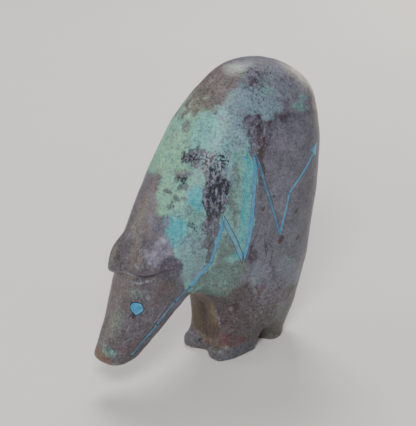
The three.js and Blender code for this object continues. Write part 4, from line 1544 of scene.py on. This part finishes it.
        # Fine light and dark grain, open pores and pale ones
        grain = graph.noise(place, self.grain_size, roughness=0.6)
        mottle = graph.rise(clots, *self.mottle)
        dust = graph.math("ADD", graph.rise(grain, *self.dust), mottle)
        grey = graph.add("ShaderNodeCombineColor", {0: dust, 1: dust, 2: dust}).outputs[0]
        colour = graph.mix(self.dust_strength, colour, grey, blend="OVERLAY")
        pores = graph.noise(place, self.pore_size, detail=1.0)
        holes = graph.rise(pores, *self.open_pores)
        holes = graph.math("MULTIPLY", holes, graph.rise(clots, *self.pore_clusters))
        colour = graph.mix(graph.math("MULTIPLY", holes, self.pore_strength), colour, Mineral.LEAD.value)
        colour = graph.mix(graph.rise(pores, *self.pale_pores), colour, Mineral.FOG.value)
        # Painted highlight along the convex edges and painted shade in the hollows, both ramps on the mesh's
        # pointiness
        bend = graph.add("ShaderNodeNewGeometry").outputs["Pointiness"]
        colour = graph.mix(graph.rise(bend, *self.painted_edge_highlight), colour, Mineral.CLAY.value, blend="SCREEN")
        colour = graph.mix(graph.rise(bend, *self.painted_hollow_shade), colour, Mineral.UMBER.value)
        graph.tree.links.new(colour, shader.inputs["Base Color"])
        smooth, rough = (self.roughness + part for part in self.roughness_spread)
        graph.tree.links.new(graph.rise(clots, *self.even, smooth, rough), shader.inputs["Roughness"])
        relief = graph.math("MULTIPLY_ADD", holes, -1.0, graph.math("MULTIPLY", grain, self.grain_relief))
        sockets = {"Strength": self.relief_strength, "Distance": self.pore_depth * MM, "Height": relief}
        graph.tree.links.new(graph.add("ShaderNodeBump", sockets).outputs[0], shader.inputs["Normal"])
        return material


@dataclass(frozen=True)
class TurquoiseInlay:
    """Polished turquoise, clouded from one blue to another."""

    name: str
    light: Colour
    deep: Colour
    chalk: Colour = (0.42, 0.60, 0.66)
    pit: Colour = (0.02, 0.07, 0.11)
    roughness: float = 0.3
    cloud_size: float = 1.3
    speck_size: float = 0.35
    clouds: Ramp = (0.36, 0.64)
    chalk_specks: Ramp = (0.64, 0.78, 0.0, 0.2)
    pits: Ramp = (0.34, 0.26, 0.0, 0.6)

    def build(self) -> bpy.types.Material:
        """Makes the material.

        Returns:
            The material, ready to put on a piece.
        """
        material, shader, graph = blank_finish(self.name, self.roughness)
        place = graph.place()
        cloud = graph.noise(place, self.cloud_size, detail=4.0, roughness=0.6)
        specks = graph.noise(place, self.speck_size)
        colour = graph.mix(graph.rise(cloud, *self.clouds), self.deep, self.light)
        colour = graph.mix(graph.rise(specks, *self.chalk_specks), colour, self.chalk)
        colour = graph.mix(graph.rise(specks, *self.pits), colour, self.pit)
        graph.tree.links.new(colour, shader.inputs["Base Color"])
        return material


@dataclass(frozen=True)
class PaleFloor:
    """Matt, nearly white board with the faintest grain."""

    name: str = "pale floor"
    dark: Colour = (0.73, 0.72, 0.70)
    light: Colour = (0.77, 0.76, 0.74)
    roughness: float = 0.85
    grain_size: float = 40.0

    def build(self) -> bpy.types.Material:
        """Makes the material.

        Returns:
            The material, ready to put on a piece.
        """
        material, shader, graph = blank_finish(self.name, self.roughness)
        grain = graph.noise(graph.place(), self.grain_size, detail=3.0)
        graph.tree.links.new(graph.mix(grain, self.dark, self.light), shader.inputs["Base Color"])
        return material


@dataclass(frozen=True)
class Lamp:
    """A soft square light that looks at the bear; its place and size are millimetres."""

    name: str
    place: Place
    size: float
    watts: float
    colour: Colour = (1.0, 1.0, 1.0)


@dataclass
class Studio:
    """Plain pale floor, soft light and the camera at the photograph's angle."""

    lamps: tuple[Lamp, ...] = (
        Lamp("key", (-300.0, -300.0, 420.0), 170.0, 2.6, (1.0, 0.98, 0.95)),
        Lamp("crown", (190.0, 240.0, 420.0), 200.0, 1.7),
        Lamp("left edge", (-260.0, 300.0, 110.0), 160.0, 0.45, (1.0, 0.84, 0.60)),
        Lamp("right edge", (330.0, 90.0, 80.0), 160.0, 0.4, (1.0, 0.86, 0.64)),
    )
    azimuth: float = -42.0
    elevation: float = 25.0
    distance: float = 450.0
    lens: float = 172.0
    sensor: float = 36.0
    near: float = 10.0
    target: Place = (1.0, 0.0, 34.4)
    floor_size: float = 3000.0
    sky: Colour = (0.9, 0.93, 1.0)
    sky_strength: float = 0.19

    def place_holder(self, name: str, data: bpy.types.ID, place: Vector) -> bpy.types.Object:
        """Puts a camera or a light in its place, looking at the bear.

        Args:
            name: The new object's name.
            data: The camera or light.
            place: Where it stands, in millimetres.

        Returns:
            The object that holds it.
        """
        holder = bpy.data.objects.new(name, data)
        holder.location = place * MM
        holder.rotation_euler = (Vector(self.target) - place).to_track_quat("-Z", "Y").to_euler()
        bpy.context.scene.collection.objects.link(holder)
        return holder

    def build_camera(self) -> None:
        """Makes the camera."""
        across = math.radians(self.azimuth)
        up = math.radians(self.elevation)
        level = self.distance * math.cos(up)
        away = Vector((math.sin(across) * level, -math.cos(across) * level, self.distance * math.sin(up)))
        camera = bpy.data.cameras.new("camera")
        camera.lens = self.lens
        camera.sensor_width = self.sensor
        camera.clip_start = self.near * MM
        bpy.context.scene.camera = self.place_holder("camera", camera, Vector(self.target) + away)

    def build_floor(self) -> None:
        """Makes the floor, which belongs to the stage."""
        bpy.ops.mesh.primitive_plane_add(size=self.floor_size * MM)
        floor = bpy.context.object
        floor.name = "floor"
        floor.data.materials.append(PaleFloor().build())

    def build(self) -> None:
        """Makes the camera, the floor and the lights."""
        self.build_camera()
        self.build_floor()
        world = bpy.data.worlds.new("world")
        world.use_nodes = True
        background = world.node_tree.nodes["Background"]
        background.inputs["Color"].default_value = (*self.sky, 1.0)
        background.inputs["Strength"].default_value = self.sky_strength
        bpy.context.scene.world = world
        for lamp in self.lamps:
            light = bpy.data.lights.new(lamp.name, "AREA")
            light.energy = lamp.watts
            light.size = lamp.size * MM
            light.color = lamp.colour
            self.place_holder(lamp.name, light, Vector(lamp.place))


class Tone(Enum):
    """The tones of turquoise that the inlays are cut from."""

    BRIGHT = TurquoiseInlay("bright turquoise", (0.060, 0.30, 0.52), (0.036, 0.22, 0.42))
    PALE = TurquoiseInlay("pale turquoise", (0.13, 0.33, 0.44), (0.075, 0.24, 0.36))
    DULL = TurquoiseInlay("dull turquoise", (0.070, 0.17, 0.27), (0.042, 0.11, 0.19))


SLIVER_TONES = {
    "throat": Tone.DULL, "fall_1": Tone.PALE, "jaw_front": Tone.DULL, "jaw_back": Tone.DULL,
    "fall_2": Tone.DULL,
}
EYES = (
    # Node, side, and place in percent of length and height
    ("eye_left", -1, (-39.5, 30.8)),
    ("eye_right", 1, (-34.0, 29.0)),
)


def fit_inlay(piece: bpy.types.Object, node: str, finish: bpy.types.Material) -> None:
    """Dresses an inlaid piece and puts it in the place of its node.

    Args:
        piece: The piece.
        node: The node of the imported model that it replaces.
        finish: Its material.
    """
    piece.data.materials.append(finish)
    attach(piece, "root")
    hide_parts(node)
    log.info("%s fitted", piece.name)


def main() -> None:
    """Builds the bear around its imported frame."""
    logging.basicConfig(level=logging.INFO, format="%(name)s: %(message)s")
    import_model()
    stone = Stone()
    bear = BearBody(stone)
    body = bear.build()
    log.info("body has %d faces", len(body.data.polygons))
    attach(body, "root")
    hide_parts("bear_body")
    body.data.materials.append(MottledStone().build())
    turquoise = {tone: tone.value.build() for tone in Tone}
    heartline = Heartline(stone)
    sunk = []
    for bar in heartline.bars():
        sunk.append(heartline.groove(bar))
        finish = turquoise[SLIVER_TONES.get(bar.name, Tone.BRIGHT)]
        fit_inlay(heartline.sliver(bar), "heartline_" + bar.name, finish)
    for node, side, place in EYES:
        eye = EyePlug(stone, side, place)
        sunk.append(eye.socket())
        fit_inlay(eye.plug(), node, turquoise[Tone.BRIGHT])
    bear.finish(body, sunk)
    Studio().build()


if __name__ == "__main__":
    main()
